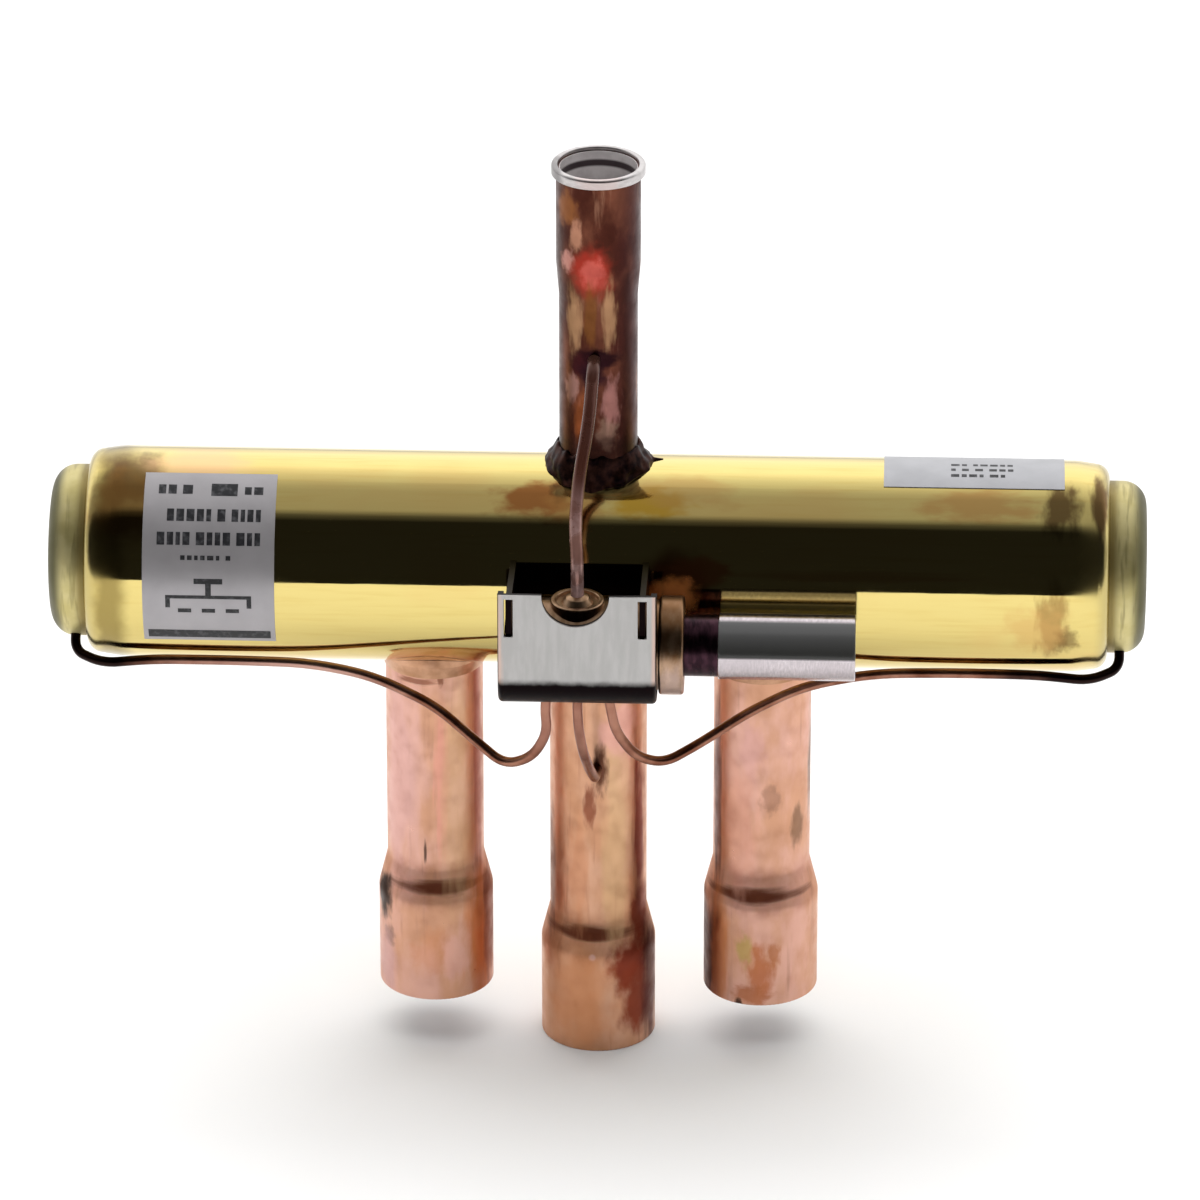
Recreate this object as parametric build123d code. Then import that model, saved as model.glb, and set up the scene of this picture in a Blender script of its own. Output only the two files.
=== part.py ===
"""Four way reversing valve for a heat pump, pilot operated.

Millimetres, +Z up. The origin is the centre of the suction tube's mouth, the middle one of
the three tubes below. The main tube lies along X, and the pilot valve is in front of it, at -Y.
"""

from build123d import *
from math import asin, cos, degrees, radians, sin, tan
import os

os.makedirs("parts", exist_ok=True)

# ---- driving dimensions ----------------------------------------------------------------------

# main tube, drawn brass with both ends spun in over the caps
body_od = 44.45
body_wall = 2.0
body_length = 214.2
spin_in_length = 7.0
spin_in_drop = 1.1
spin_blend = 14.0
roll_radius = 3.0
roll_inner_radius = 0.5

# end caps
cap_od = 36.2
cap_reach = 7.8
cap_wall = 2.0
cap_corner = 5.0
cap_flange = 2.2
cap_flange_corner = 0.7

# copper stubs: three below, one above
port_pitch = 34.8
port_tube_od = 20.6
port_tube_wall = 1.0
port_socket_bore = 22.35
port_socket_wall = 1.0
port_socket_depth = 22.7
port_shoulder = 7.6
stub_mouth_round = 0.3
stub_shoulder_blend = 4.0
suction_reach = 111.7
side_reach = 99.9
discharge_od = 16.4
discharge_wall = 0.8
discharge_socket_bore = 16.0
discharge_socket_wall = 0.8
discharge_socket_depth = 21.1
discharge_shoulder = 7.3
discharge_reach = 90.4
discharge_inside = 19.0
collar_od = 19.5
collar_skirt = 1.4
collar_lip = 0.7
collar_bore = 16.9
fillet_braze_spread = 2.7
fillet_braze_height = 5.2
port_braze_spread = 1.3
port_braze_height = 1.6

# valve seat inside the main tube
seat_level = 9.5
seat_length = 98.0
seat_port = 17.5
seat_socket = 5.0

# main slide and the piston assembly that carries it
slide_cavity_width = 18.0
slide_cavity_roof = 7.8
slide_wall = 2.2
slide_flange = 3.0
slide_flange_rim = 1.8
slide_dome = 10.0
dome_round = 5.0
frame_thickness = 1.5
frame_width = 32.0
frame_shoulder = 10.0
tab_width = 24.0
tab_top = 9.5
piston_plate_od = 34.8
piston_plate_thickness = 2.7
spreader_thickness = 0.3
seal_base = 1.2
seal_lip = 6.2
seal_lip_wall = 0.9
cover_od = 35.0
cover_thickness = 2.5
bleed_hole = 1.0
screw_circle = 15.0
screw_shank = 2.9
screw_head = 5.2
screw_head_height = 1.8
spreader_fingers = 12
spreader_slot = 1.4

# pilot valve, in front of the main tube and a little below its middle
pilot_angle = 6.5
pilot_x = -3.1
pilot_body_od = 18.8
pilot_flange_od = 20.6
pilot_clear_of_body = 0.8
pilot_left = -17.7
pilot_flange_start = 13.9
pilot_flange_end = 19.1
pilot_bore = 13.0
pilot_floor = 3.0
pilot_port_pitch = 5.0
pilot_port = 1.3
pilot_seat_level = 2.0
pilot_seat_length = 15.6
line_end_level = -4.2
pilot_slide_height = 3.0
pilot_slide_width = 4.4
pilot_slide_cavity = 1.0
boss_od = 11.2
boss_top = 10.3
boss_hub_od = 6.6

# plunger tube that takes the coil, with its fixed core
neck_od = 12.8
neck_bore = 6.0
neck_end = 26.1
neck_spigot = 2.5
stem_od = 13.8
stem_wall = 0.6
stem_round = 0.3
stem_length = 28.4
core_length = 7.8
core_screw_bore = 4.2
core_screw_depth = 6.0
plunger_pocket = 5.2
plunger_pocket_depth = 7.4
plunger_groove = 1.6
rod_socket_depth = 3.4
spring_od = 4.6
spring_wire = 0.6
spring_turns = 7
rod_od = 4.0

# sheet steel that holds the pilot
sheet = 1.2
clip_left = -19.2
clip_right = 13.6
clip_above_pilot = 16.1
clip_bend = 7.0
clip_return = 3.6
line_slot_length = 15.0
line_slot_width = 3.6
ear_slot_width = 1.9
ear_tip_recess = 0.7
notch_radius = 7.0
ear_half_spread = 13.8
ear_top = 11.4
ear_tab_height = 8.5
ear_foot = 1.0

# capillary lines
capillary_od = 2.1
capillary_bore = 1.1
discharge_capillary_od = 2.7
discharge_capillary_bore = 1.5
cap_line_inset = 2.6
cap_line_stub = 3.6
cap_line_angle = 36.0
feed_level = 49.3
feed_x = -0.6
suction_line_level = -44.4
line_lean = 10.0
line_into_wall = 0.8

# foil plates
foil = 0.15
nameplate_span = (-94.4, -66.8)
nameplate_angles = (-30.0, 72.6)
top_label_span = (59.8, 97.5)
top_label_angles = (71.0, 145.0)

# small rounds of turned and stamped edges
edge_round = 0.4

# clearances
braze_gap = 0.05
running_gap = 0.08
slide_gap = 0.05
loose_gap = 0.1

# ---- worked out from them --------------------------------------------------------------------

body_r = body_od / 2
bore_r = body_r - body_wall
half = body_length / 2
axis_z = suction_reach
cap_face = half + cap_reach
cap_flange_face = half - body_wall - braze_gap - cap_flange
stroke = port_pitch
pilot_distance = body_r + pilot_flange_od / 2 + pilot_clear_of_body
pilot_front = pilot_distance * cos(radians(pilot_angle))
pilot_drop = pilot_distance * sin(radians(pilot_angle))
pilot_r = pilot_body_od / 2
clip_front = pilot_front + pilot_r + 0.5 + sheet
clip_top = clip_above_pilot - pilot_drop
clip_bottom = -pilot_drop - pilot_r - 0.25 - sheet
cap_line_x = half + cap_line_inset
line_hole = capillary_od + 2 * braze_gap
feed_line_hole = discharge_capillary_od + 2 * braze_gap
pilot_place = Pos(0, -pilot_front, axis_z - pilot_drop)
body_place = Pos(0, 0, axis_z)


# ---- helpers ---------------------------------------------------------------------------------


def lathe_x(points, radii=None):
    """A solid turned about X. The points are (x, radius), and radii rounds each of them."""
    outline = FilletPolyline(*points, radius=radii or [0] * len(points), close=True)
    return revolve(make_face(outline), Axis.X)


def lathe_z(points, radii=None):
    """A solid turned about Z. The points are (radius, z)."""
    outline = FilletPolyline(*points, radius=radii or [0] * len(points), close=True)
    return revolve(Plane.XZ * make_face(outline), Axis.Z)


def rod_x(diameter, start, end):
    """A round bar about X between two places."""
    return Pos((start + end) / 2, 0, 0) * Rot(0, 90, 0) * Cylinder(diameter / 2, end - start)


def rod_z(diameter, low, high):
    """A round bar about Z between two heights."""
    return Pos(0, 0, (low + high) / 2) * Cylinder(diameter / 2, high - low)


def block(low, high):
    """A box between two corners."""
    size = [b - a for a, b in zip(low, high)]
    middle = [(a + b) / 2 for a, b in zip(low, high)]
    return Pos(*middle) * Box(*size)


def side_profile(points, radii=None):
    """A face across X, from points given as (distance in front of the body's axis, height)."""
    outline = FilletPolyline(
        *[(front, height) for front, height in points],
        radius=radii or [0] * len(points),
        close=True,
    )
    return Plane(origin=(0, 0, 0), x_dir=(0, -1, 0), z_dir=(-1, 0, 0)) * make_face(outline)


def across_x(face, start, end):
    """The side profile as a solid between two places along X."""
    return Pos(end, 0, 0) * extrude(face, end - start)


def around_body(span, angles, inner, outer):
    """A strip of a shell about the body's axis, between two angles above the front."""
    first, last = angles
    reach = outer / cos(radians((last - first) / 4)) * 1.1
    corners = [(0, 0)]
    for step in range(5):
        angle = radians(first + (last - first) * step / 4)
        corners.append((reach * cos(angle), reach * sin(angle)))
    wedge = across_x(side_profile(corners), *span)
    ring = rod_x(2 * outer, *span) - rod_x(2 * inner, span[0] - 1, span[1] + 1)
    return ring & wedge


def bent_line(points, diameter, bore):
    """A capillary: straight runs joined by arcs as large as their runs allow."""
    places = [Vector(*p) for p in points]
    radii = []
    for before, here, after in zip(places, places[1:], places[2:]):
        turn = radians((here - before).get_angle(after - here))
        shorter = min((here - before).length, (after - here).length)
        radii.append(0.45 * shorter / max(tan(turn / 2), 1e-6))
    path = FilletPolyline(*points, radius=radii)
    start = Plane(origin=path @ 0, z_dir=path % 0)
    outside = sweep(start * Circle(diameter / 2), path=path)
    return outside - sweep(start * Circle(bore / 2), path=path)


# ---- the casing ------------------------------------------------------------------------------


def main_tube():
    """Drawn brass tube, spun in at both ends over the cap flanges, with the four port holes."""
    lip_r = cap_od / 2 + braze_gap
    low_r = body_r - spin_in_drop
    right = [
        (half - spin_in_length, body_r),
        (half, low_r),
        (half, lip_r),
        (half - body_wall, lip_r),
        (half - body_wall, low_r - body_wall),
        (half - spin_in_length, bore_r),
    ]
    right_radii = [spin_blend, roll_radius, edge_round, edge_round, roll_inner_radius, roll_radius]
    left = [(-x, r) for x, r in reversed(right)]
    shell = lathe_x(right + left, right_radii + right_radii[::-1])
    for x in (-port_pitch, 0, port_pitch):
        shell -= Pos(x, 0, 0) * rod_z(port_tube_od + 2 * braze_gap, -body_r - 1, 0)
    shell -= rod_z(discharge_od + 2 * braze_gap, 0, body_r + 1)
    return body_place * shell


def end_cap():
    """Pressed cap, its flange held behind the spun-in lip, with the hole for its capillary."""
    r = cap_od / 2
    flange_r = bore_r - spin_in_drop - braze_gap
    behind_lip = half - body_wall - braze_gap
    cup = lathe_x(
        [
            (cap_face, 0),
            (cap_face, r),
            (behind_lip, r),
            (behind_lip, flange_r),
            (cap_flange_face, flange_r),
            (cap_flange_face, r - cap_wall),
            (cap_face - cap_wall, r - cap_wall),
            (cap_face - cap_wall, 0),
        ],
        [0, cap_corner, 0, cap_flange_corner, edge_round, 0.8, cap_corner - cap_wall, 0],
    )
    hole = rod_z(line_hole, -cap_od, -r / 2)
    return cup - Pos(cap_line_x, 0, 0) * Rot(-cap_line_angle, 0, 0) * hole


def stub(od, wall, socket_bore, socket_wall, depth, shoulder, length):
    """Copper stub expanded into a socket. Its mouth is at z = 0, and it runs up to z = length."""
    r, socket_r = od / 2, socket_bore / 2
    blend = stub_shoulder_blend
    return lathe_z(
        [
            (socket_r + socket_wall, 0),
            (socket_r + socket_wall, depth),
            (r, depth + shoulder),
            (r, length),
            (r - wall, length),
            (r - wall, depth + shoulder),
            (socket_r, depth),
            (socket_r, 0),
        ],
        [stub_mouth_round, blend, blend, 0, 0, blend, blend / 4, 0],
    )


def port_tube(x, reach):
    """One of the three lower stubs, its top end in the valve seat."""
    top = axis_z - bore_r + seat_socket
    tube = stub(
        port_tube_od,
        port_tube_wall,
        port_socket_bore,
        port_socket_wall,
        port_socket_depth,
        port_shoulder,
        top - (axis_z - reach),
    )
    return Pos(x, 0, axis_z - reach) * tube


def discharge_tube():
    """The upper stub, with the hole for the pilot's feed line in its front."""
    tube = stub(
        discharge_od,
        discharge_wall,
        discharge_socket_bore,
        discharge_socket_wall,
        discharge_socket_depth,
        discharge_shoulder,
        discharge_reach - collar_lip - braze_gap - discharge_inside,
    )
    mouth = axis_z + discharge_reach - collar_lip - braze_gap
    placed = Pos(0, 0, mouth) * Rot(180, 0, 0) * tube
    feed_hole = Rot(90, 0, 0) * rod_z(feed_line_hole, 0, discharge_od)
    return placed - Pos(feed_x, 0, axis_z + feed_level) * feed_hole


def suction_tube():
    """The middle lower stub, with the hole for the pilot's suction line in its front."""
    hole = Rot(90, 0, 0) * rod_z(line_hole, 0, port_tube_od)
    return port_tube(0, suction_reach) - Pos(0, 0, axis_z + suction_line_level) * hole


def discharge_collar():
    """Bright ring pressed over the mouth of the discharge tube."""
    top = axis_z + discharge_reach
    r = collar_od / 2
    skirt_r = discharge_socket_bore / 2 + discharge_socket_wall + braze_gap
    return lathe_z(
        [
            (r, top),
            (r, top - collar_lip - collar_skirt),
            (skirt_r, top - collar_lip - collar_skirt),
            (skirt_r, top - collar_lip),
            (collar_bore / 2, top - collar_lip),
            (collar_bore / 2, top),
        ],
        [0.5, 0.15, 0, 0, 0, 0.25],
    )


def braze_ring(tube_od, spread, height, upward):
    """A run-out fillet of braze metal round a stub where it leaves the main tube."""
    r = tube_od / 2 + braze_gap
    top = body_r + height
    cone = lathe_z([(r, 0), (r + spread, 0), (r + spread, body_r - 1.2), (r + 0.35, top), (r, top)])
    ring = cone - rod_x(body_od + 2 * braze_gap, -2 * tube_od, 2 * tube_od)
    return ring if upward else Rot(180, 0, 0) * ring


def discharge_braze():
    """The large braze fillet at the foot of the upper stub."""
    ring = braze_ring(discharge_od, fillet_braze_spread, fillet_braze_height, upward=True)
    return body_place * ring


def port_braze_rings():
    """The three braze fillets below, as one group of separate rings."""
    ring = braze_ring(port_tube_od, port_braze_spread, port_braze_height, upward=False)
    return Compound(children=[Pos(x, 0, axis_z) * ring for x in (-port_pitch, 0, port_pitch)])


def valve_seat():
    """Brass seat in the bottom of the bore, flat on top, with the three ports in a row."""
    seat_r = bore_r - braze_gap
    seat = rod_x(2 * seat_r, -seat_length / 2, seat_length / 2)
    seat &= block((-seat_length, -body_od, -body_od), (seat_length, body_od, -seat_level))
    for x in (-port_pitch, 0, port_pitch):
        seat -= Pos(x, 0, 0) * rod_z(seat_port, -body_r, 0)
        tube_end = -bore_r + seat_socket + braze_gap
        seat -= Pos(x, 0, 0) * rod_z(port_tube_od + 2 * braze_gap, -body_r, tube_end)
    return body_place * seat


def foil_plate(span, angles):
    """A thin foil wrapped on the main tube."""
    inner = body_r + 0.02
    return body_place * around_body(span, angles, inner, inner + foil)


# ---- the main slide and its pistons ----------------------------------------------------------

slide_bottom = -seat_level + slide_gap
cavity_length = port_pitch + seat_port + 0.2
dome_length = cavity_length + 2 * slide_wall
dome_width = slide_cavity_width + 2 * slide_wall
frame_bottom = slide_bottom + slide_flange + slide_gap
cover_outer = cap_flange_face - stroke / 2 - loose_gap
cover_inner = cover_outer - cover_thickness
seal_inner = cover_inner - seal_base
plate_outer = seal_inner - spreader_thickness
tab_outer = plate_outer - piston_plate_thickness
tab_inner = tab_outer - frame_thickness
rest_shift = Pos(-stroke / 2, 0, axis_z)


def main_slide():
    """Moulded slide: a flanged D-shaped cup that joins the suction port to one side port."""
    flange = extrude(
        RectangleRounded(
            dome_length + 2 * slide_flange_rim,
            dome_width + 2 * slide_flange_rim,
            dome_width / 2,
        ),
        slide_flange,
    )
    dome = extrude(SlotOverall(dome_length, dome_width), slide_flange + slide_dome)
    dome = fillet(dome.edges().group_by(Axis.Z)[-1], dome_round)
    cavity = extrude(SlotOverall(cavity_length, slide_cavity_width), slide_flange + slide_cavity_roof)
    cavity = fillet(cavity.edges().group_by(Axis.Z)[-1], dome_round - 1)
    return rest_shift * Pos(0, 0, slide_bottom) * (flange + dome - cavity)


def slide_frame():
    """Steel strip that joins the pistons. Its window carries the slide by the dome."""
    shoulder = tab_outer - frame_shoulder
    strip = block((-shoulder, -frame_width / 2, 0), (shoulder, frame_width / 2, frame_thickness))
    strip += block((-tab_outer, -tab_width / 2, 0), (tab_outer, tab_width / 2, frame_thickness))
    window = SlotOverall(dome_length + 2 * loose_gap, dome_width + 2 * loose_gap)
    strip -= extrude(window, frame_thickness)
    tab = block((tab_inner, -tab_width / 2, 0), (tab_outer, tab_width / 2, tab_top - frame_bottom))
    strip += tab + mirror(tab, Plane.YZ)
    for x in (-1.5 * port_pitch, 1.5 * port_pitch):
        strip -= Pos(x, 0, 0) * rod_z(seat_port, -1, frame_thickness + 1)
    strip = Pos(0, 0, frame_bottom) * strip
    strip -= screw_places(rod_x(screw_shank + 2 * braze_gap, -half, half))
    return rest_shift * strip


def screw_places(piece):
    """Copies of a piece at the three screw places round the piston's axis."""
    places = [Rot(120 * k, 0, 0) * Pos(0, 0, screw_circle / 2) * piece for k in range(3)]
    return Compound(children=places)


def pierced(disc):
    """A piston disc with its screw holes and the bleed hole."""
    disc -= screw_places(rod_x(screw_shank + 2 * braze_gap, 0, half))
    return disc - Pos(0, screw_circle * 0.45, 0) * rod_x(bleed_hole, 0, half)


def piston_plate():
    """Inner disc, against the frame's tab."""
    r = piston_plate_od / 2
    outline = [(tab_outer, 0), (tab_outer, r), (plate_outer, r), (plate_outer, 0)]
    return pierced(lathe_x(outline, [0, 0.6, 0.3, 0]))


def seal_spreader():
    """Thin spring cup whose fingers press the seal's lip outwards."""
    r = bore_r - running_gap - seal_lip_wall - braze_gap
    start = cover_inner - seal_lip + 0.6
    cup = lathe_x(
        [
            (seal_inner, 0),
            (seal_inner, r),
            (start, r),
            (start, r - spreader_thickness),
            (plate_outer, r - spreader_thickness),
            (plate_outer, 0),
        ]
    )
    slot = block((start - 1, -spreader_slot / 2, r - 2), (plate_outer - 0.5, spreader_slot / 2, r + 2))
    for k in range(spreader_fingers):
        cup -= Rot(360 / spreader_fingers * k, 0, 0) * slot
    return pierced(cup)


def piston_seal():
    """PTFE cup, its lip towards the middle of the valve, where the pressure is high."""
    r = bore_r - running_gap
    start = cover_inner - seal_lip
    cup = lathe_x(
        [
            (cover_inner, 0),
            (cover_inner, r),
            (start, r),
            (start, r - seal_lip_wall),
            (seal_inner, r - seal_lip_wall),
            (seal_inner, 0),
        ],
        [0, 0.9, 0.3, 0.3, 0, 0],
    )
    return pierced(cup)


def piston_cover():
    """Outer disc, which meets the cap's flange at the end of the stroke."""
    r = cover_od / 2
    outline = [(cover_inner, 0), (cover_inner, r), (cover_outer, r), (cover_outer, 0)]
    return pierced(lathe_x(outline, [0, 0.3, 0.8, 0]))


def piston_screws():
    """The three screws of one piston."""
    shank = rod_x(screw_shank, tab_inner - 0.8, cover_outer)
    head = rod_x(screw_head, cover_outer, cover_outer + screw_head_height)
    head = fillet(head.edges().group_by(Axis.X)[-1], 0.6)
    slot = block(
        (cover_outer + screw_head_height - 0.7, -screw_head, -0.35),
        (cover_outer + screw_head_height + 1, screw_head, 0.35),
    )
    return screw_places(shank + head - slot)


# ---- the pilot valve -------------------------------------------------------------------------

pilot_ports = [pilot_x + k * pilot_port_pitch for k in (-1, 0, 1)]
pilot_slide_x = pilot_x - pilot_port_pitch / 2
pilot_cavity_length = pilot_port_pitch + pilot_port + 0.4
pilot_slide_length = pilot_cavity_length + 2.2
stem_start = neck_end + braze_gap
stem_end = stem_start + stem_length
core_start = stem_end - core_length
plunger_start = neck_end + neck_spigot + 0.2
plunger_travel = pilot_port_pitch
plunger_end = core_start - plunger_travel - loose_gap


def lower_line_holes():
    """Holes for the ends of the three lower lines. The outer two lean away from the middle."""
    hole = rod_z(line_hole, -pilot_flange_od, braze_gap)
    left, middle, right = [Pos(x, 0, line_end_level) for x in pilot_ports]
    leaning = left * Rot(0, line_lean, 0) * hole + right * Rot(0, -line_lean, 0) * hole
    return leaning + middle * hole


def pilot_body():
    """Turned brass body, bored from the plunger's side, with its flange on the right."""
    r, flange_r = pilot_r, pilot_flange_od / 2
    body = lathe_x(
        [
            (pilot_left, 0),
            (pilot_left, r),
            (pilot_flange_start, r),
            (pilot_flange_start, flange_r),
            (pilot_flange_end, flange_r),
            (pilot_flange_end, pilot_bore / 2),
            (pilot_left + pilot_floor, pilot_bore / 2),
            (pilot_left + pilot_floor, 0),
        ],
        [0, 0.8, 0, 0.7, 0.7, 0.3, 0, 0],
    )
    body -= lower_line_holes()
    body -= Pos(pilot_x, 0, 0) * rod_z(feed_line_hole, 0, pilot_flange_od)
    return pilot_place * body


def pilot_inlet_boss():
    """Brazed seat ring round the feed line: a raised rim, a groove and a small hub."""
    r, hub_r = boss_od / 2, boss_hub_od / 2
    hole_r = feed_line_hole / 2
    ring = lathe_z(
        [
            (hole_r, 0),
            (r, 0),
            (r, boss_top),
            (r - 1.1, boss_top),
            (r - 1.3, boss_top - 0.7),
            (hub_r, boss_top - 0.7),
            (hub_r - 0.9, boss_top + 0.5),
            (hole_r, boss_top + 0.9),
        ],
        [0, 0, 0.4, 0.3, 0, 0, 0.6, 0],
    )
    ring -= rod_x(pilot_body_od + 2 * braze_gap, -boss_od, boss_od)
    return pilot_place * Pos(pilot_x, 0, 0) * ring


def pilot_seat():
    """Brass seat in the pilot's bore, with three small ports over the line ends."""
    start = pilot_x - pilot_seat_length / 2
    end = start + pilot_seat_length
    seat = rod_x(pilot_bore - 2 * braze_gap, start, end)
    seat &= block((start, -pilot_bore, -pilot_bore), (end, pilot_bore, -pilot_seat_level))
    for x in pilot_ports:
        seat -= Pos(x, 0, 0) * rod_z(pilot_port, -pilot_bore, 0)
    return pilot_place * (seat - lower_line_holes())


def neck_adapter():
    """Heat-blued steel neck between the pilot body and the plunger tube."""
    r, spigot_r = neck_od / 2, stem_od / 2 - stem_wall - braze_gap
    bore = neck_bore / 2
    start = pilot_flange_end - 4
    neck = lathe_x(
        [
            (start, bore),
            (start, r),
            (neck_end, r),
            (neck_end, spigot_r),
            (neck_end + neck_spigot, spigot_r),
            (neck_end + neck_spigot, bore),
        ],
        [0, edge_round, 0, 0, edge_round, 0],
    )
    return pilot_place * neck


def plunger_tube():
    """Stainless tube that the coil slides over."""
    r = stem_od / 2
    tube = lathe_x(
        [(stem_start, r - stem_wall), (stem_start, r), (stem_end, r), (stem_end, r - stem_wall)],
        [0, stem_round, stem_round, 0],
    )
    return pilot_place * tube


def fixed_core():
    """Steel plug in the end of the plunger tube, with the tapped hole for the coil's screw."""
    r = stem_od / 2 - stem_wall - braze_gap
    outline = [(core_start, 0), (core_start, r), (stem_end, r), (stem_end, 0)]
    core = lathe_x(outline, [0, edge_round, 0, 0])
    return pilot_place * (core - rod_x(core_screw_bore, stem_end - core_screw_depth, stem_end + 1))


def pilot_plunger():
    """Magnetic plunger: blind pocket for its spring on the right, rod socket on the left."""
    r = stem_od / 2 - stem_wall - running_gap
    plunger = rod_x(2 * r, plunger_start, plunger_end)
    plunger = chamfer(plunger.edges(), 0.5)
    plunger -= rod_x(plunger_pocket, plunger_end - plunger_pocket_depth, plunger_end + 1)
    plunger -= rod_x(rod_od + 2 * braze_gap, plunger_start - 1, plunger_start + rod_socket_depth)
    groove = block((0, -0.6, -plunger_groove / 2), (half, 0.6, plunger_groove / 2))
    for y in (-r, r):
        plunger -= Pos(0, y, 0) * groove
    return pilot_place * plunger


def pilot_carrier():
    """Rod and frame that carry the pilot slide."""
    half_length = pilot_slide_length / 2 + loose_gap + 1.6
    half_width = pilot_slide_width / 2 + loose_gap + 1.2
    frame = block(
        (pilot_slide_x - half_length, -half_width, -0.9),
        (pilot_slide_x + half_length + 1.6, half_width, 2.3),
    )
    window = (pilot_slide_length / 2 + loose_gap, pilot_slide_width / 2 + loose_gap)
    frame -= block(
        (pilot_slide_x - window[0], -window[1], -2),
        (pilot_slide_x + window[0], window[1], 4),
    )
    rod = rod_x(rod_od, pilot_slide_x + half_length, plunger_start + rod_socket_depth - 0.2)
    rod -= block((0, -rod_od, -rod_od), (pilot_slide_x + half_length + 1.6, rod_od, -0.9))
    return pilot_place * (frame + rod)


def pilot_slide():
    """Small moulded slide that joins the pilot's suction port to one side port."""
    bottom = -pilot_seat_level + slide_gap
    slide = block(
        (-pilot_slide_length / 2, -pilot_slide_width / 2, bottom),
        (pilot_slide_length / 2, pilot_slide_width / 2, bottom + pilot_slide_height),
    )
    slide = fillet(slide.edges().filter_by(Axis.Z), 0.8)
    cavity = extrude(SlotOverall(pilot_cavity_length, pilot_port + 0.7), pilot_slide_cavity)
    return pilot_place * Pos(pilot_slide_x, 0, 0) * (slide - Pos(0, 0, bottom) * cavity)


def pilot_leaf_spring():
    """Bowed leaf in the carrier's window that keeps the pilot slide on its seat."""
    top_of_slide = -pilot_seat_level + slide_gap + pilot_slide_height
    half_length, rise, thickness = pilot_slide_length / 2 - 0.3, 0.9, 0.2
    low = top_of_slide + loose_gap / 2
    high = low + rise
    lower = ThreePointArc((-half_length, high), (0, low), (half_length, high))
    upper = Pos(0, thickness) * lower
    sides = [Line(upper @ 0, lower @ 0), Line(upper @ 1, lower @ 1)]
    face = make_face(Curve() + [upper, lower] + sides)
    leaf = extrude(Plane.XZ * face, 1.2, both=True)
    return pilot_place * Pos(pilot_slide_x, 0, 0) * leaf


def return_spring():
    """Coil spring between the plunger's pocket and the fixed core."""
    start = plunger_end - plunger_pocket_depth + spring_wire / 2 + 0.05
    length = core_start - start - spring_wire / 2 - 0.05
    mean_r = (spring_od - spring_wire) / 2
    helix = Helix(pitch=length / spring_turns, height=length, radius=mean_r)
    wire = sweep(Plane(origin=helix @ 0, z_dir=helix % 0) * Circle(spring_wire / 2), path=helix)
    return pilot_place * Pos(start, 0, 0) * Rot(0, 90, 0) * wire


# ---- the sheet steel round the pilot ---------------------------------------------------------


def pilot_cylinder():
    """The pilot body's outer surface with a braze gap, for what is shaped to it."""
    return Pos(0, -pilot_front, -pilot_drop) * rod_x(pilot_body_od + 2 * braze_gap, -60, 60)


def pilot_clip():
    """Front plate with a notch for the feed line, bent under the pilot and back to the body."""
    inner_front = clip_front - sheet
    section = side_profile(
        [
            (body_r / 2, clip_bottom),
            (clip_front, clip_bottom),
            (clip_front, clip_top),
            (inner_front, clip_top),
            (inner_front, clip_bottom + sheet),
            (body_r / 2, clip_bottom + sheet),
        ],
        [0, clip_bend, 0, 0, clip_bend - sheet, 0],
    )
    clip = across_x(section, clip_left, clip_right)
    clip -= rod_x(body_od + 2 * braze_gap, -60, 60)
    slot = block(
        (-ear_slot_width / 2, -clip_front - 1, ear_top - ear_tab_height - braze_gap),
        (ear_slot_width / 2, -inner_front + 1, ear_top + braze_gap),
    )
    for x in (pilot_x - ear_half_spread, pilot_x + ear_half_spread):
        clip -= Pos(x, 0, 0) * slot
    for edge in (clip_left, clip_right - sheet):
        clip += block(
            (edge, -inner_front - 0.01, clip_bottom + clip_bend),
            (edge + sheet, -inner_front + clip_return, clip_top - sheet),
        )
    notch = Pos(pilot_x, -clip_front, clip_top) * Rot(90, 0, 0) * Cylinder(notch_radius, 4 * sheet)
    line_slot = extrude(SlotOverall(line_slot_length, line_slot_width), 2 * sheet, both=True)
    clip -= notch
    clip -= Pos(pilot_x, -pilot_front, clip_bottom) * line_slot
    clip -= pilot_cylinder()
    corners = clip.edges().filter_by(Axis.Z).group_by(Axis.Y)[0]
    outer = [e for e in corners if e.center().X < clip_left + 0.1 or e.center().X > clip_right - 0.1]
    return body_place * fillet(outer, 1.0)


def pilot_saddle():
    """U-shaped stamping welded to the main tube. Its ears rest on the pilot body."""
    inner_front = clip_front - sheet
    ear = side_profile(
        [
            (body_r / 2, ear_foot),
            (inner_front - 0.1, ear_foot),
            (inner_front - 0.1, ear_top - ear_tab_height),
            (clip_front - ear_tip_recess, ear_top - ear_tab_height),
            (clip_front - ear_tip_recess, ear_top),
            (body_r * 0.85, ear_top - 2.6),
            (body_r / 2, ear_top - 2.6),
        ],
        [0, 0, 0, 0.4, 0.4, 8, 0],
    )
    saddle = around_body(
        (pilot_x - ear_half_spread, pilot_x + ear_half_spread),
        (degrees(asin(2.5 / body_r)), degrees(asin((ear_top - 2.8) / body_r))),
        body_r + braze_gap,
        body_r + braze_gap + sheet,
    )
    for side in (-1, 1):
        middle = pilot_x + side * ear_half_spread
        saddle += across_x(ear, middle - sheet / 2, middle + sheet / 2)
    saddle -= rod_x(body_od + 2 * braze_gap, -60, 60)
    return body_place * (saddle - pilot_cylinder())


# ---- the capillary lines ---------------------------------------------------------------------
# Routes are chosen by hand, as (x, distance in front of the body's axis, height above it).


def line_points(route):
    """A route in the part's own coordinates."""
    return [(x, -front, axis_z + height) for x, front, height in route]


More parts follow.
